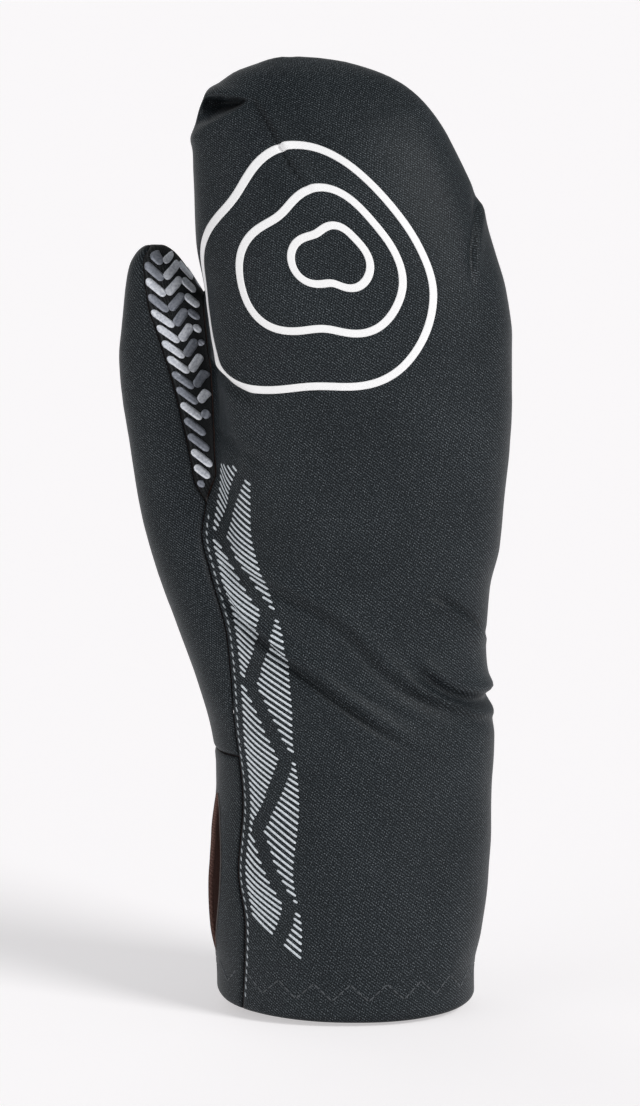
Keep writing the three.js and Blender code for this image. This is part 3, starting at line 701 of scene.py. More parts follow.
def walked(z, start, end, way, shares):
    """Level rows of surface points between two points each, spaced along the cloth by shares. way is 1 for
    rows that run counter-clockwise seen from above, and -1 for the other way."""
    sections = (hand.section(z), thumb.section(z))
    step, h, longest = 0.7, 0.2, 600
    x, y = start[:, 0], start[:, 1]
    trail = [start[:, :2]]
    arrived = np.full(len(z), 0)
    while not arrived.all() and len(trail) < longest:
        gx, gy = level_slopes(x, y, z, sections, h)
        size = np.hypot(gx, gy)
        x, y = x - way * step * gy / size, y + way * step * gx / size
        off = outside_all(x, y, z, sections) / size**2
        x, y = x - off * gx, y - off * gy
        trail.append(np.stack([x, y], -1))
        there = np.hypot(x - end[:, 0], y - end[:, 1]) < step
        arrived = np.where((arrived == 0) & there, len(trail) - 1, arrived)
    trail = np.stack(trail, 1)
    rows = np.empty((len(z), len(shares), 3))
    for i, last in enumerate(arrived):
        path = np.vstack([trail[i, :last], end[i, :2]])
        run = running(np.hypot(*np.diff(path, axis=0).T))
        for axis in (0, 1):
            rows[i, :, axis] = np.interp(shares * run[-1], run, path[:, axis])
        rows[i, :, 2] = z[i]
    return rows


def turned(tube, z, start, end, way, shares):
    """The same over a tube's round tip, where the rows are too short to walk."""
    first, last = tube.angle(start), tube.angle(end)
    last = np.where((last - first) * way < 0, last + 360 * way, last)
    angles = first[:, None] + (last - first)[:, None] * np.linspace(0, 1, 200)
    runs = lengths_along(on_mitten(tube, z[:, None], angles, near=True), 1)
    wanted = np.array([np.interp(shares * run[-1], run, turn) for run, turn in zip(runs, angles)])
    return on_mitten(tube, z[:, None], wanted, near=True)


def rows_between(tube, z, start, end, way, shares):
    """The same up to and over the tip."""
    tip = z > tube.top - 4
    rows = np.empty((len(z), len(shares), 3))
    rows[~tip] = walked(z[~tip], start[~tip], end[~tip], way, shares)
    if tip.any():
        rows[tip] = turned(tube, z[tip], start[tip], end[tip], way, shares)
    return rows


def capped(tube, rows, way):
    """The rows with one more, on the far side of the small ring at the tube's tip, so that it closes."""
    first, last = tube.angle(rows[-1, 0]), tube.angle(rows[-1, -1])
    round_back = (way * (first - last)) % 360
    count = rows.shape[1]
    far = tube.point(np.full(count, tube.top), first - way * round_back * np.linspace(0, 1, count))
    return np.concatenate([rows, far[None]])


def tip_rows(tube, rounded, steps):
    """Heights over a tube's round tip, closing up towards its top."""
    return tube.top - rounded + rounded * np.sin(np.radians(np.linspace(0, 90, steps + 1)))


def stacked(*parts):
    """Heights from several stretches, without repeats."""
    return np.unique(np.round(np.concatenate(parts), 4))


# Materials


def shader(name):
    """A new material with its node tree and its principled shader."""
    material = bpy.data.materials.new(name)
    material.use_nodes = True
    tree = material.node_tree
    principled = tree.nodes["Principled BSDF"]
    return material, tree, principled


def node(tree, kind, **settings):
    made = tree.nodes.new(kind)
    for key, value in settings.items():
        setattr(made, key, value)
    return made


def math_node(tree, operation, a, b=None, c=None):
    made = node(tree, "ShaderNodeMath", operation=operation)
    for socket, value in zip(made.inputs, (a, b, c)):
        if isinstance(value, (int, float)):
            socket.default_value = value
        elif value is not None:
            tree.links.new(value, socket)
    return made.outputs[0]


def set_values(made, **values):
    """Values for a node's sockets, whose names are given with _ for a space."""
    for socket, value in values.items():
        made.inputs[socket.replace("_", " ")].default_value = value


def noise_node(tree, vector, scale, detail=2.0, rough=0.5):
    made = node(tree, "ShaderNodeTexNoise")
    set_values(made, Scale=scale, Detail=detail, Roughness=rough)
    tree.links.new(vector, made.inputs["Vector"])
    return made.outputs["Fac"]


def ramp(tree, fac, stops):
    made = node(tree, "ShaderNodeValToRGB")
    while len(made.color_ramp.elements) < len(stops):
        made.color_ramp.elements.new(0.5)
    for element, (position, color) in zip(made.color_ramp.elements, stops):
        element.position = position
        element.color = (*color, 1)
    tree.links.new(fac, made.inputs["Fac"])
    return made.outputs["Color"]


def add_bump(tree, principled, height, strength, distance):
    bump = node(tree, "ShaderNodeBump")
    set_values(bump, Strength=strength, Distance=distance * MM)
    tree.links.new(height, bump.inputs["Height"])
    tree.links.new(bump.outputs["Normal"], principled.inputs["Normal"])


RIB_LEAN, YARN_LEAN = 36.0, 0.3  # the ribs' slant as an angle, and the floating yarns' as a slope
RIB_SHARE, WOBBLE = 0.7, 1.2
PAINTED_SHADE_REACH = 5.0  # how near other cloth must lie for the painted shade that darkens a hollow's colour
# The tone that picks the colour: its start, and the shares of weave, grain, broad patches and the painted
# shade of hollows, from ambient occlusion
TONE_START, TONE_SHARES = -0.02, (0.34, 2.8, 0.22, 0.36)


def twill(name, stops, roughness, pitch=0.78):
    """Finely woven cloth: slanted ribs made of short floating yarns, some of which catch the light, with
    painted shade darkening its colour in hollows.
    """
    material, tree, principled = shader(name)
    flat = node(tree, "ShaderNodeAttribute", attribute_name="cloth").outputs["Vector"]
    split = node(tree, "ShaderNodeSeparateXYZ")
    tree.links.new(flat, split.inputs[0])
    wobble = math_node(tree, "MULTIPLY", noise_node(tree, flat, 0.5), WOBBLE)
    turn = 2 * math.pi / pitch

    def wave(across, up):
        """Ripples that repeat each pitch over a way across and up the cloth."""
        way = math_node(tree, "MULTIPLY", split.outputs[0], across * turn)
        way = math_node(tree, "ADD", way, math_node(tree, "MULTIPLY", split.outputs[1], up * turn))
        return math_node(tree, "SINE", math_node(tree, "ADD", way, wobble))

    rib = wave(math.sin(math.radians(RIB_LEAN)), math.cos(math.radians(RIB_LEAN)))
    floating = math_node(tree, "MULTIPLY", wave(1, -YARN_LEAN), 1 - RIB_SHARE)
    weave = math_node(tree, "ADD", math_node(tree, "MULTIPLY", rib, RIB_SHARE), floating)
    grain = math_node(tree, "SUBTRACT", noise_node(tree, flat, 2.6, 2.0, 0.65), 0.5)
    broad = math_node(tree, "SUBTRACT", noise_node(tree, flat, 0.03, 3.0), 0.5)
    # Painted shade: ambient occlusion darkens the cloth's colour in its folds, seams and the tuck, where less
    # light reaches
    hollow = node(tree, "ShaderNodeAmbientOcclusion", samples=6)
    set_values(hollow, Distance=PAINTED_SHADE_REACH * MM)
    tone = TONE_START
    for part, share in zip((weave, grain, broad, hollow.outputs["AO"]), TONE_SHARES):
        tone = math_node(tree, "MULTIPLY_ADD", part, share, tone)
    tree.links.new(ramp(tree, tone, stops), principled.inputs["Base Color"])
    set_values(principled, Roughness=roughness, Specular_IOR_Level=0.17)
    set_values(principled, Sheen_Weight=0.03, Sheen_Roughness=0.35)
    add_bump(tree, principled, weave, 0.35, 0.06)
    return material


def ink(name, color, shade, roughness, metallic=0.0):
    """A printed film: nearly even, with the cloth's grain showing through a little."""
    material, tree, principled = shader(name)
    place = node(tree, "ShaderNodeTexCoord").outputs["Object"]
    grain = noise_node(tree, place, 1400)
    tree.links.new(ramp(tree, grain, [(0.3, shade), (0.6, color)]), principled.inputs["Base Color"])
    set_values(principled, Metallic=metallic)
    uneven = node(tree, "ShaderNodeMapRange")
    set_values(uneven, To_Min=roughness - 0.08, To_Max=roughness + 0.08)
    tree.links.new(noise_node(tree, place, 260), uneven.inputs["Value"])
    tree.links.new(uneven.outputs["Result"], principled.inputs["Roughness"])
    add_bump(tree, principled, grain, 0.4, 0.05)
    return material


def yarn(name, color, shade):
    """Twisted sewing thread."""
    material, tree, principled = shader(name)
    strand = noise_node(tree, node(tree, "ShaderNodeTexCoord").outputs["Object"], 2600)
    tree.links.new(ramp(tree, strand, [(0.35, shade), (0.65, color)]), principled.inputs["Base Color"])
    set_values(principled, Roughness=0.6)
    add_bump(tree, principled, strand, 0.5, 0.08)
    return material


SHELL = twill("shell_twill", [
    (0.0, (0.0021, 0.0032, 0.0042)), (0.3, (0.0080, 0.0112, 0.0139)), (0.5, (0.0186, 0.0244, 0.0285)),
    (0.72, (0.050, 0.061, 0.069)), (1.0, (0.155, 0.174, 0.188)),
], 0.52)
GRIP = twill("grip_cloth", [
    (0.0, (0.003, 0.0035, 0.004)), (0.4, (0.011, 0.012, 0.013)), (0.7, (0.028, 0.031, 0.033)),
    (1.0, (0.07, 0.075, 0.08)),
], 0.7)
LINING = twill("lining", [
    (0.0, (0.09, 0.049, 0.041)), (0.5, (0.16, 0.088, 0.074)), (1.0, (0.25, 0.145, 0.122)),
], 0.85, pitch=1.0)
CUT_EDGE = ink("cut_edge", (0.070, 0.062, 0.060), (0.035, 0.031, 0.030), 0.8)
WHITE = ink("white_print", (0.97, 0.97, 0.97), (0.95, 0.95, 0.95), 0.5)
HATCH = ink("hatch_print", (0.74, 0.79, 0.83), (0.48, 0.53, 0.56), 0.5)
TICK = ink("tick_print", (0.50, 0.54, 0.57), (0.26, 0.29, 0.31), 0.55)
# Lit and shaded copies of one silver ink: the darker copy is painted reflection, for bars that catch less
# light
SILVER = ink("silver_print", (0.84, 0.87, 0.92), (0.56, 0.59, 0.66), 0.36, metallic=0.35)
SILVER_SHADED = ink("silver_print_painted_shade", (0.34, 0.36, 0.41), (0.20, 0.22, 0.26), 0.32, metallic=0.45)
THREAD = yarn("dark_thread", (0.075, 0.085, 0.095), (0.028, 0.032, 0.036))

# What the outer face, the inner face and the rims of a panel are made of
SHELL_FACES = [SHELL, LINING, CUT_EDGE]
GRIP_FACES = [GRIP, LINING, CUT_EDGE]

# Panels

GRID = 1.25  # size of a cell of cloth
# The rows of the back lie closer together round the wrist's folds, near the crotch and at the tuck
FOLDS_LOW, FOLDS_HIGH, TUCK_LOW, TUCK_HIGH = 74, 138, 260, 292


def stretch(low, high, size=GRID):
    """Heights from one to another, about a cell apart."""
    return np.linspace(low, high, max(2, int(round((high - low) / size)) + 1))


def hand_at(z, angle):
    return on_mitten(hand, z, np.full(z.shape, float(angle)))


ALL_EDGES = ("left", "right", "top", "bottom")

back_z = stacked(
    np.linspace(0, 3, 6), stretch(3, FOLDS_LOW, 1.6), stretch(FOLDS_LOW, FOLDS_HIGH, 0.9),
    stretch(FOLDS_HIGH, FOOT_Z, 1.3), stretch(FOOT_Z, CROTCH_Z, 0.9), stretch(CROTCH_Z, TUCK_LOW, 1.5),
    stretch(TUCK_LOW, TUCK_HIGH, 0.7), tip_rows(hand, 12, 14)[4:],
)
back_rows = rows_between(
    hand, back_z, hand_left(back_z, True), hand_at(back_z, SIDE_SEAM), 1, even_shares(150))
back_patch = Patch(capped(hand, back_rows, 1), rolled=ALL_EDGES, centre=(hand, 0))
panel("back_panel_cloth", "back_panel", back_patch, SHELL_FACES)

palm_z = stacked(
    np.linspace(CROSS_SEAM_Z, CROSS_SEAM_Z + 3, 5), stretch(CROSS_SEAM_Z + 3, CREASE_END_Z, 1.1),
    stretch(CREASE_END_Z, CROTCH_Z), stretch(CROTCH_Z, 266, 1.5), tip_rows(hand, 36, 34),
)
palm_rows = rows_between(
    hand, palm_z, hand_left(palm_z, False), hand_at(palm_z, SIDE_SEAM), -1, even_shares(96))
palm_patch = Patch(palm_rows, rolled=ALL_EDGES, centre=(hand, 0), way=-1)
panel("palm_panel_cloth", "palm_panel", palm_patch, GRIP_FACES)

thumb_z = stacked(
    np.linspace(CROSS_SEAM_Z, CROSS_SEAM_Z + 3, 5), stretch(CROSS_SEAM_Z + 3, FOOT_Z),
    stretch(FOOT_Z, thumb.top - 12), tip_rows(thumb, 12, 16),
)
thumb_start = np.where(
    (thumb_z > FOOT_Z)[:, None], thumb_front(np.maximum(thumb_z, FOOT_Z)), back_seam(thumb_z))
thumb_end = on_mitten(thumb, thumb_z, thumb_palm_angle(thumb_z))
thumb_rows = rows_between(thumb, thumb_z, thumb_start, thumb_end, -1, even_shares(60))
thumb_patch = Patch(capped(thumb, thumb_rows, -1), rolled=ALL_EDGES, centre=(thumb, 1), way=-1)
panel("thumb_back_cloth", "thumb_back", thumb_patch, SHELL_FACES)

UNDER = 0.8  # the lower edge of the thumb's gripping side runs on this far under its neighbours
GRIP_ROWS = 100
grip_shares = even_shares(66)
grip_ends = grip_edge(grip_shares)
in_crease = np.where(grip_ends > FORK_Z, 1, (grip_shares > 0.5) * 1.0)
grip_ends = grip_ends - UNDER * in_crease
grip_down = (1 - np.cos(np.radians(np.linspace(0, 90, GRIP_ROWS)))) ** 0.9
grip_z = thumb.top - (thumb.top - grip_ends[None, :]) * grip_down[:, None]
grip_patch = Patch(
    on_mitten(thumb, grip_z, grip_angle(grip_shares, grip_z), near=True), rolled=("left", "right", "bottom"))
panel("thumb_grip_cloth", "thumb_grip", grip_patch, GRIP_FACES)

cuff_z = stacked(
    np.linspace(0, 3, 6), np.linspace(3, SLIT_LOW, 10), np.linspace(SLIT_LOW, SLIT_HIGH, 46),
    np.linspace(SLIT_HIGH, CROSS_SEAM_Z - 3, 10), np.linspace(CROSS_SEAM_Z - 3, CROSS_SEAM_Z, 5),
)
slit_open = np.sin(np.pi * np.clip((cuff_z - SLIT_LOW) / (SLIT_HIGH - SLIT_LOW), 0, 1)) ** 0.8
slit_half = SLIT_END + SLIT_HALF * slit_open
FRONT_COLUMNS, PALM_COLUMNS = 14, 90
slit_front = on_mitten(hand, cuff_z, SLIT_MIDDLE + slit_half + SLIT_MORE_BACK * slit_open)
slit_palm = on_mitten(hand, cuff_z, SLIT_MIDDLE - slit_half - SLIT_MORE_PALM * slit_open)
cuff_rows = np.concatenate([
    walked(cuff_z, back_seam(cuff_z), slit_front, -1, np.linspace(0, 1, FRONT_COLUMNS)),
    walked(cuff_z, slit_palm, hand_at(cuff_z, SIDE_SEAM), -1, np.linspace(0, 1, PALM_COLUMNS)),
], 1)
cuff_patch = Patch(cuff_rows, rolled=ALL_EDGES, centre=(hand, 0), way=-1)


def cuff_cloth(i, j):
    """Which cells of the cuff are cloth: all but those across the open slit."""
    middle = (cuff_z[i] + cuff_z[i + 1]) / 2
    return ~((j == FRONT_COLUMNS - 1) & (middle > SLIT_LOW) & (middle < SLIT_HIGH))


panel("cuff_panel_cloth", "cuff_panel", cuff_patch, [SHELL, LINING, LINING], keep=cuff_cloth)

# The hem's rows turn round the edge and then run up inside the cuff
hem_z = np.array([
    0.5, 0.25, 0.15, 0.3, 0.8, 1.6, *np.linspace(3, HEM_HEIGHT - 1, 8), HEM_HEIGHT - 0.4, HEM_HEIGHT,
])
hem_depth = np.interp(np.arange(len(hem_z)), [0, 2, 5], [1.3, 1.6, CLOTH + HEM_GAP])
hem_angles = np.linspace(0, 360, 221)[:-1]
hem_patch = Patch(on_mitten(hand, hem_z[:, None], hem_angles[None, :]), depth=hem_depth[:, None])
panel("cuff_hem_cloth", "cuff_hem", hem_patch, [SHELL, SHELL, CUT_EDGE], ring=True,
      thickness=HEM_THICKNESS)

# Prints and stitches: strips that lie on a panel, given flat by a length u across it and a height z

RIM_DEPTH = 0.2  # how deep the rim of a strip hangs into the cloth


def strips_on(name, carrier, strips, rise, materials, across=3, flat_top=True):
    """Strips of film or thread, each a path of flat points with half widths and the number of its material.
    Every strip is a low tray turned over: its rim hangs down into the cloth. carrier is the panel's node, its
    slot, which is not used, and the function that puts flat points on it."""
    node_name, slot_name, place = carrier
    flats, drops, faces, tones, level = [], [], [], [], []
    count = 0
    for path, half, tone in strips:
        closed = np.allclose(path[0], path[-1])
        way = np.gradient(path, axis=0)
        if closed:
            way[0] = way[-1] = path[1] - path[-2]
        way = way / np.maximum(np.linalg.norm(way, axis=1, keepdims=True), 1e-9)
        side = np.stack([-way[:, 1], way[:, 0]], 1)
        spread = half[:, None] * np.linspace(-1, 1, across)
        grid = path[:, None] + side[:, None] * spread[..., None]
        grid = np.pad(grid, ((0, 0) if closed else (1, 1), (1, 1), (0, 0)), mode="edge")
        drop = np.zeros(grid.shape[:2])
        drop[:, [0, -1]] = rise + RIM_DEPTH
        if not closed:
            drop[[0, -1]] = rise + RIM_DEPTH
        rows, columns = drop.shape
        i, j = [k.ravel() for k in np.meshgrid(np.arange(rows - 1), np.arange(columns - 1), indexing="ij")]
        corner = count + i * columns + j
        faces.append(np.stack([corner, corner + columns, corner + columns + 1, corner + 1], 1))
        tones.append(np.full(len(corner), tone))
        on_top = (j > 0) & (j < columns - 2) & (closed | (i > 0) & (i < rows - 2))
        level.append(on_top if flat_top else np.full(len(corner), True))
        flats.append(grid.reshape(-1, 2))
        drops.append(drop.ravel())
        count += rows * columns
    flats = np.concatenate(flats)
    points, normals = place(flats[:, 0], flats[:, 1])
    points = slanted(points + normals * (rise - np.concatenate(drops))[:, None])
    faces = np.concatenate(faces)
    corners = points[faces]
    facing = np.cross(corners[:, 1] - corners[:, 0], corners[:, 3] - corners[:, 0])
    if (facing * normals[faces[:, 0]]).sum() < 0:
        faces = faces[:, ::-1]
    tones, level = np.concatenate(tones), np.concatenate(level)
    piece = make_object(name, points, faces.tolist(), materials, face_materials=tones, smooth=level)
    dress(piece, node_name)


def level_place(patch):
    return lambda u, z: patch.sample(*patch.at(u, z))


BACK = ("back_panel", "shell_fabric", level_place(back_patch))
CUFF = ("cuff_panel", "shell_fabric", level_place(cuff_patch))
PALM = ("palm_panel", "grip_fabric", level_place(palm_patch))


def runs_of(inside):
    """Starts and ends of the runs of true values."""
    change = np.flatnonzero(np.diff(np.concatenate([[0], inside.astype(int), [0]])))
    return list(zip(change[::2], change[1::2]))


def even_half(length, width):
    """Half widths along a strip whose two ends are narrower."""
    half = np.full(length, width / 2)
    half[[0, -1]] *= 0.6
    return half


# The hatched band beside the seam of the back, slanted lines that a bare zigzag runs through, and its ticks
BAND_LOW, BAND_HIGH, BAND_LEFT, BAND_RIGHT = 36.0, 185.0, 3.6, 21.0
BAND_CLEAR, BAND_OVER_FORK = 2.4, 4.0  # how far from the crease it stays, and how far above the fork it ends
HATCH_PITCH, HATCH_WIDTH, HATCH_STEP, HATCH_SHORTEST = 2.05, 0.7, 0.4, 4
HATCH_SLOPE, HATCH_HOOK = 0.6, 4.0
TICK_LOW, TICK_HIGH, TICK_PITCH = 6.0, 157.0, 2.5
TICK_LENGTH, TICK_WIDTH, TICK_ASIDE, TICK_SLANT, TICK_STEPS = 1.45, 0.46, 1.35, 0.3, 4
ZIGZAG_PERIOD, ZIGZAG_SHIFT, ZIGZAG_SWING, ZIGZAG_HALF = 46.0, 11.0, 5.6, 2.3


def hatched_band():
    strips = []
    a = np.arange(BAND_LEFT, BAND_RIGHT + 0.01, HATCH_STEP)
    fall = HATCH_SLOPE * a + HATCH_HOOK * (1 - np.exp(-a / HATCH_HOOK))
    for top in np.arange(BAND_LOW, BAND_HIGH, HATCH_PITCH):
        z = top - fall
        wave = np.abs(((z + ZIGZAG_SHIFT) / ZIGZAG_PERIOD) % 1 - 0.5) * 4 - 1
        bare = np.abs(a - (BAND_LEFT + BAND_RIGHT) / 2 - ZIGZAG_SWING * wave) < ZIGZAG_HALF
        u = back_patch.edges(np.minimum(z, FOOT_Z))[0] + a
        beside = u > back_patch.edges(z)[0] + BAND_CLEAR
        for first, last in runs_of(~bare & beside & (z < FORK_Z + BAND_OVER_FORK)):
            if last - first >= HATCH_SHORTEST:
                path = np.stack([u, z], 1)[first:last]
                strips.append((path, even_half(len(path), HATCH_WIDTH), 0))
    for top in np.arange(TICK_LOW, TICK_HIGH, TICK_PITCH):
        z = top - TICK_LENGTH * np.linspace(0, 1, TICK_STEPS)
        aside = TICK_ASIDE + TICK_SLANT * (top - z)
        path = np.stack([back_patch.edges(z)[0] + aside, z], 1)
        strips.append((path, even_half(TICK_STEPS, TICK_WIDTH), 1))
    return strips


strips_on("seam_band_print", BACK, hatched_band(), 0.07, [HATCH, TICK])

# White contour lines, like those of a hill on a map
CONTOURS = [
    # centre u, centre z, radius, then how much and where it swells two, three and five times round
    (-14.0, 232.0, 38.0, (0.10, 20), (0.09, 200), (0.025, 40)),
    (-9.0, 236.0, 23.5, (0.12, 50), (0.10, 215), (0.03, 60)),
    (-5.0, 239.0, 10.5, (0.16, 80), (0.10, 230), (0.03, 80)),
]
CONTOUR_WIDTH, CONTOUR_CLEAR = 2.4, 2


def contour_lines():
    strips = []
    for u, z, radius, *swells in CONTOURS:
        turn = np.linspace(0, 2 * np.pi, int(radius * 10) + 1)
        swell = sum(
            size * np.sin(times * turn + math.radians(phase))
            for times, (size, phase) in zip((2, 3, 5), swells))
        reach = radius * (1 + swell)
        path = np.stack([u + reach * np.cos(turn), z + reach * np.sin(turn)], 1)
        left, right = back_patch.edges(path[:, 1])
        clear = (path[:, 0] > left + CONTOUR_CLEAR) & (path[:, 0] < right - CONTOUR_CLEAR)
        for first, last in runs_of(clear):
            strips.append((path[first:last], np.full(last - first, CONTOUR_WIDTH / 2), 0))
    return strips


strips_on("contour_print", BACK, contour_lines(), 0.16, [WHITE], across=8)

# The grip print: rounded bars in columns that lean to and fro
BAR_LENGTH, BAR_WIDTH, BAR_PITCH, BAR_COLUMN = 7.4, 2.7, 4.9, 6.0
BAR_LEAN, BAR_SHIFT, BAR_ROUND = 42, 0.4, 0.96
BAR_STEPS, BAR_SHORTEST = 25, 7  # points of a whole bar, and the fewest that a cut one keeps
BAR_PLACES = np.array([-1, -0.97, -0.88, -0.7, -0.35, 0, 0.35, 0.7, 0.88, 0.97, 1])
SHADED_BARS = 0.45  # share of the bars in the darker copy of the silver ink, painted reflection for bars that catch less light


def grip_bars(inside, low, high, left, right, seed):
    """Bars over an area, each cut back to the part of it that is inside."""
    draw = np.random.default_rng(seed)
    along = np.linspace(-BAR_LENGTH / 2, BAR_LENGTH / 2, BAR_STEPS)
    strips = []
    for k, u in enumerate(np.arange(left, right, BAR_COLUMN)):
        lean = math.radians(BAR_LEAN if k % 2 else -BAR_LEAN)
        way = np.array([math.cos(lean), math.sin(lean)])
        for z in np.arange(low + (k % 2) * BAR_SHIFT, high, BAR_PITCH):
            # Painted reflection: a share of the bars take the shaded copy of the silver ink
            tone = int(draw.random() < SHADED_BARS)
            middle = np.array([u, z])
            path = middle + along[:, None] * way
            for first, last in runs_of(inside(path[:, 0], path[:, 1])):
                if last - first < BAR_SHORTEST:
                    continue
                reach = (along[last - 1] - along[first]) / 2
                shift = (along[last - 1] + along[first]) / 2
                s = BAR_PLACES * reach
                cap = np.clip((np.abs(s) - (reach - BAR_WIDTH / 2)) / (BAR_WIDTH / 2), 0, 1)
                half = BAR_WIDTH / 2 * np.sqrt(1 - BAR_ROUND * cap**2)
                strips.append((middle + (shift + s)[:, None] * way, half, tone))
    return strips


grip_levels = np.linspace(CREASE_END_Z, thumb.top - 1, 90)
grip_runs = lengths_along(
    on_mitten(thumb, grip_levels[:, None], grip_angle(grip_shares, grip_levels[:, None]), near=True), 1)


def grip_share(u, z):
    """The share of the way across the thumb's gripping side at a length u from its seam on the back."""
    level = np.interp(z, grip_levels, np.arange(len(grip_levels)))
    return blended(u, level, grip_runs, grip_shares, np.zeros(len(grip_levels)))


def grip_place(u, z):
    """Points of the thumb's gripping side at lengths u and heights z."""
    share = grip_share(u, z)
    end = np.interp(share, grip_shares, grip_ends)
    down = (thumb.top - z) / (thumb.top - end)
    row = np.interp(down, grip_down, np.arange(GRIP_ROWS))
    return grip_patch.sample(row, np.interp(share, grip_shares, np.arange(len(grip_shares))))


# How far the bars stay from the sides, the lower edge and the tip of the thumb's gripping side and the palm
GRIP_SIDE, GRIP_LOW, GRIP_TIP, GRIP_TIP_PALM = 0.9, 1.6, 2.2, 7.0
PALM_SIDE, PALM_LOW, PALM_TIP = 1.5, 2, 12


def on_grip(u, z):
    across = np.interp(z, grip_levels, grip_runs[:, -1])
    share = grip_share(np.clip(u, 0, across), z)
    low = np.interp(share, edge_shares, edge_heights) + GRIP_LOW
    high = thumb.top - GRIP_TIP - GRIP_TIP_PALM * smoothstep(0.3, 0.55, share)
    return (u > GRIP_SIDE) & (u < across - GRIP_SIDE) & (z > low) & (z < high)


def on_palm(u, z):
    left, right = palm_patch.edges(z)
    beside = (u > left + PALM_SIDE) & (u < right - PALM_SIDE)
    return beside & (z > CROSS_SEAM_Z + PALM_LOW) & (z < hand.top - PALM_TIP)


thumb_bars = grip_bars(on_grip, CREASE_END_Z, thumb.top, left=3.7, right=60, seed=3)
palm_bars = grip_bars(on_palm, CROSS_SEAM_Z, hand.top, left=-60, right=70, seed=5)
THUMB_GRIP = ("thumb_grip", "grip_fabric", grip_place)
strips_on("thumb_grip_print", THUMB_GRIP, thumb_bars, 0.22, [SILVER, SILVER_SHADED], across=4)
strips_on("palm_grip_print", PALM, palm_bars, 0.22, [SILVER, SILVER_SHADED], across=4)

# Zigzag stitches that hold the hem, all round the cuff
ZIG_LOW, ZIG_HIGH, ZIG_HALF_PERIOD = 7.2, 12.2, 5.85
ZIG_FROM, ZIG_TO, ZIG_MEASURED = 2.5, 2, 8.0  # how far from the panel's two sides, measured at this height
STITCHES, STITCH_START, STITCH_END = 3, 0.08, 0.92  # in each leg, and the part of a third that each fills
STITCH_HALVES = np.array([0.1, 0.22, 0.26, 0.22, 0.1])


def zigzag(patch):
    left, right = patch.edges(np.array([ZIG_MEASURED]))
    corners = np.arange(left[0] + ZIG_FROM, right[0] - ZIG_TO, ZIG_HALF_PERIOD)
    strips = []
    for k, u in enumerate(corners[:-1]):
        start, end = (ZIG_LOW, ZIG_HIGH) if k % 2 else (ZIG_HIGH, ZIG_LOW)
        for stitch in range(STITCHES):
            share = np.linspace((stitch + STITCH_START) / STITCHES, (stitch + STITCH_END) / STITCHES, 5)
            path = np.stack([u + ZIG_HALF_PERIOD * share, start + (end - start) * share], 1)
            strips.append((path, STITCH_HALVES, 0))
    return strips


strips_on("hem_stitches_back", BACK, zigzag(back_patch), 0.12, [THREAD], flat_top=False)
strips_on("hem_stitches_cuff", CUFF, zigzag(cuff_patch), 0.12, [THREAD], flat_top=False)

# The thin binding round the wrist slit: column of the cuff, distance from it and half width
BINDINGS = [(FRONT_COLUMNS - 1, -0.4, 0.34), (FRONT_COLUMNS, 0.3, 0.2)]


def slit_binding():
    low, high = np.searchsorted(cuff_z, [SLIT_LOW, SLIT_HIGH])
    z = cuff_z[low:high + 1]
    strips = []
    for column, aside, half in BINDINGS:
        u = cuff_patch.across[low:high + 1, column] - cuff_patch.zero[low:high + 1] + aside
        strips.append((np.stack([u, z], 1), np.full(len(z), half), 0))
    return strips


strips_on("slit_binding", CUFF, slit_binding(), 0.14, [CUT_EDGE], flat_top=False)

# Floor, light and camera

TARGET = Vector((-8.0, 0.0, 142.83)) * MM
DISTANCE = 1.5
ELEVATION = 8.0
SENSOR = 36
FIELD = 1106 * 0.32 * MM  # what the frame's long side shows at the target
FLOOR_HALF, FLOOR_Z, FLOOR_GLOW = 40000.0, -4.2, 0.468
SKY_LOW, SKY_HIGH = 0.42, 0.1  # brightness at the horizon and overhead


def direction(azimuth, elevation):
    """Azimuth 0 is in front of the back of the hand, and it grows towards the little finger."""
    a, e = math.radians(azimuth), math.radians(elevation)
    return Vector((math.sin(a) * math.cos(e), -math.cos(a) * math.cos(e), math.sin(e)))


def put(name, data, spot, turn):
    """A camera or a light at a spot, turned by a quaternion."""
    made = bpy.data.objects.new(name, data)
    made.location = spot
    made.rotation_mode = "QUATERNION"
    made.rotation_quaternion = turn
    bpy.context.scene.collection.objects.link(made)
    return made


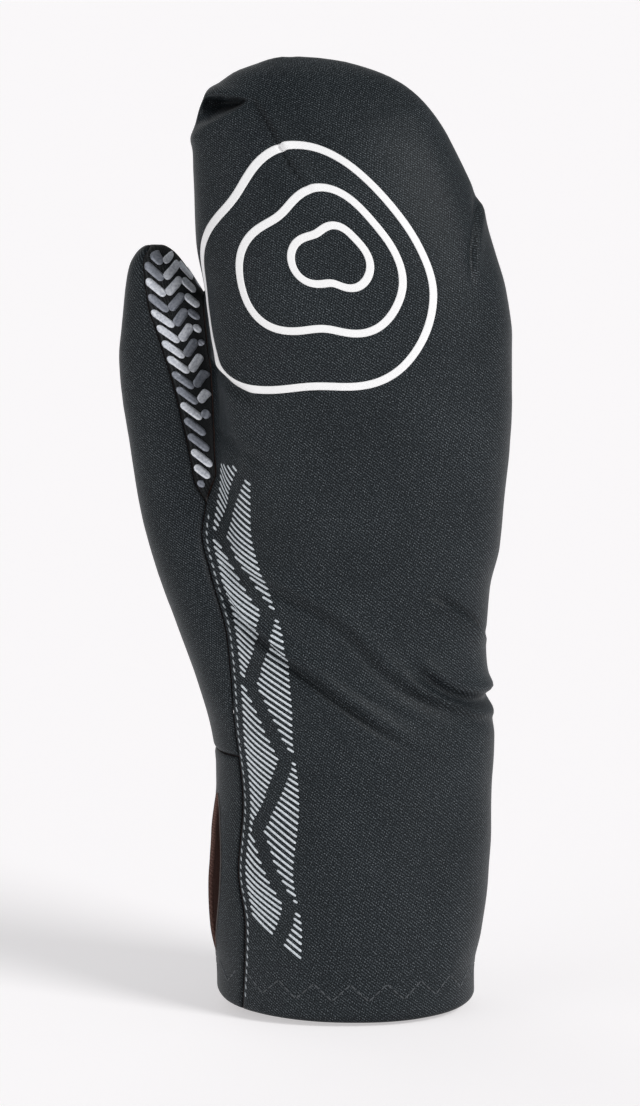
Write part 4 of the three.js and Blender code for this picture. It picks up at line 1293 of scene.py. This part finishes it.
def add_camera():
    data = bpy.data.cameras.new("camera")
    data.sensor_width = SENSOR
    data.lens = SENSOR * DISTANCE / FIELD
    back_way = direction(0, ELEVATION)
    bpy.context.scene.camera = put(
        "camera", data, TARGET + back_way * DISTANCE, (-back_way).to_track_quat("-Z", "Y"))


def add_sun(name, azimuth, elevation, power, spread, shadow=True):
    """A soft distant light."""
    data = bpy.data.lights.new(name, "SUN")
    data.energy = power
    data.angle = math.radians(spread)
    data.use_shadow = shadow
    way = direction(azimuth, elevation)
    put(name, data, way * 2, way.to_track_quat("Z", "Y"))


def add_floor():
    """A pale floor wide enough to fill every view, slightly bright of itself like a lit table."""
    material, tree, principled = shader("floor_paper")
    uneven = noise_node(tree, node(tree, "ShaderNodeTexCoord").outputs["Object"], 3)
    color = ramp(tree, uneven, [(0.3, (0.718, 0.704, 0.710)), (0.7, (0.722, 0.708, 0.714))])
    tree.links.new(color, principled.inputs["Base Color"])
    set_values(principled, Roughness=1.0, Specular_IOR_Level=0.0)
    set_values(principled, Emission_Color=(1.0, 0.98, 0.99, 1), Emission_Strength=FLOOR_GLOW)
    corners = [(x * FLOOR_HALF, y * FLOOR_HALF, FLOOR_Z) for x, y in ((-1, -1), (1, -1), (1, 1), (-1, 1))]
    make_object("floor", corners, [(0, 1, 2, 3)], [material], smooth=False)


def add_world():
    world = bpy.data.worlds.new("studio")
    world.use_nodes = True
    tree = world.node_tree
    background = tree.nodes["Background"]
    set_values(background, Color=(0.97, 0.98, 1.0, 1))
    split = node(tree, "ShaderNodeSeparateXYZ")
    tree.links.new(node(tree, "ShaderNodeTexCoord").outputs["Generated"], split.inputs[0])
    height = node(tree, "ShaderNodeMapRange")
    set_values(height, To_Min=SKY_LOW, To_Max=SKY_HIGH)
    tree.links.new(split.outputs[2], height.inputs["Value"])
    tree.links.new(height.outputs["Result"], background.inputs["Strength"])
    bpy.context.scene.world = world


add_camera()
add_floor()
add_world()
add_sun("key", 51, 35, 1.85, 22)
add_sun("fill", -58, 20, 0.5, 60, shadow=False)
add_sun("back light", 200, 30, 0.5, 60, shadow=False)
bpy.context.scene.view_settings.view_transform = "Standard"
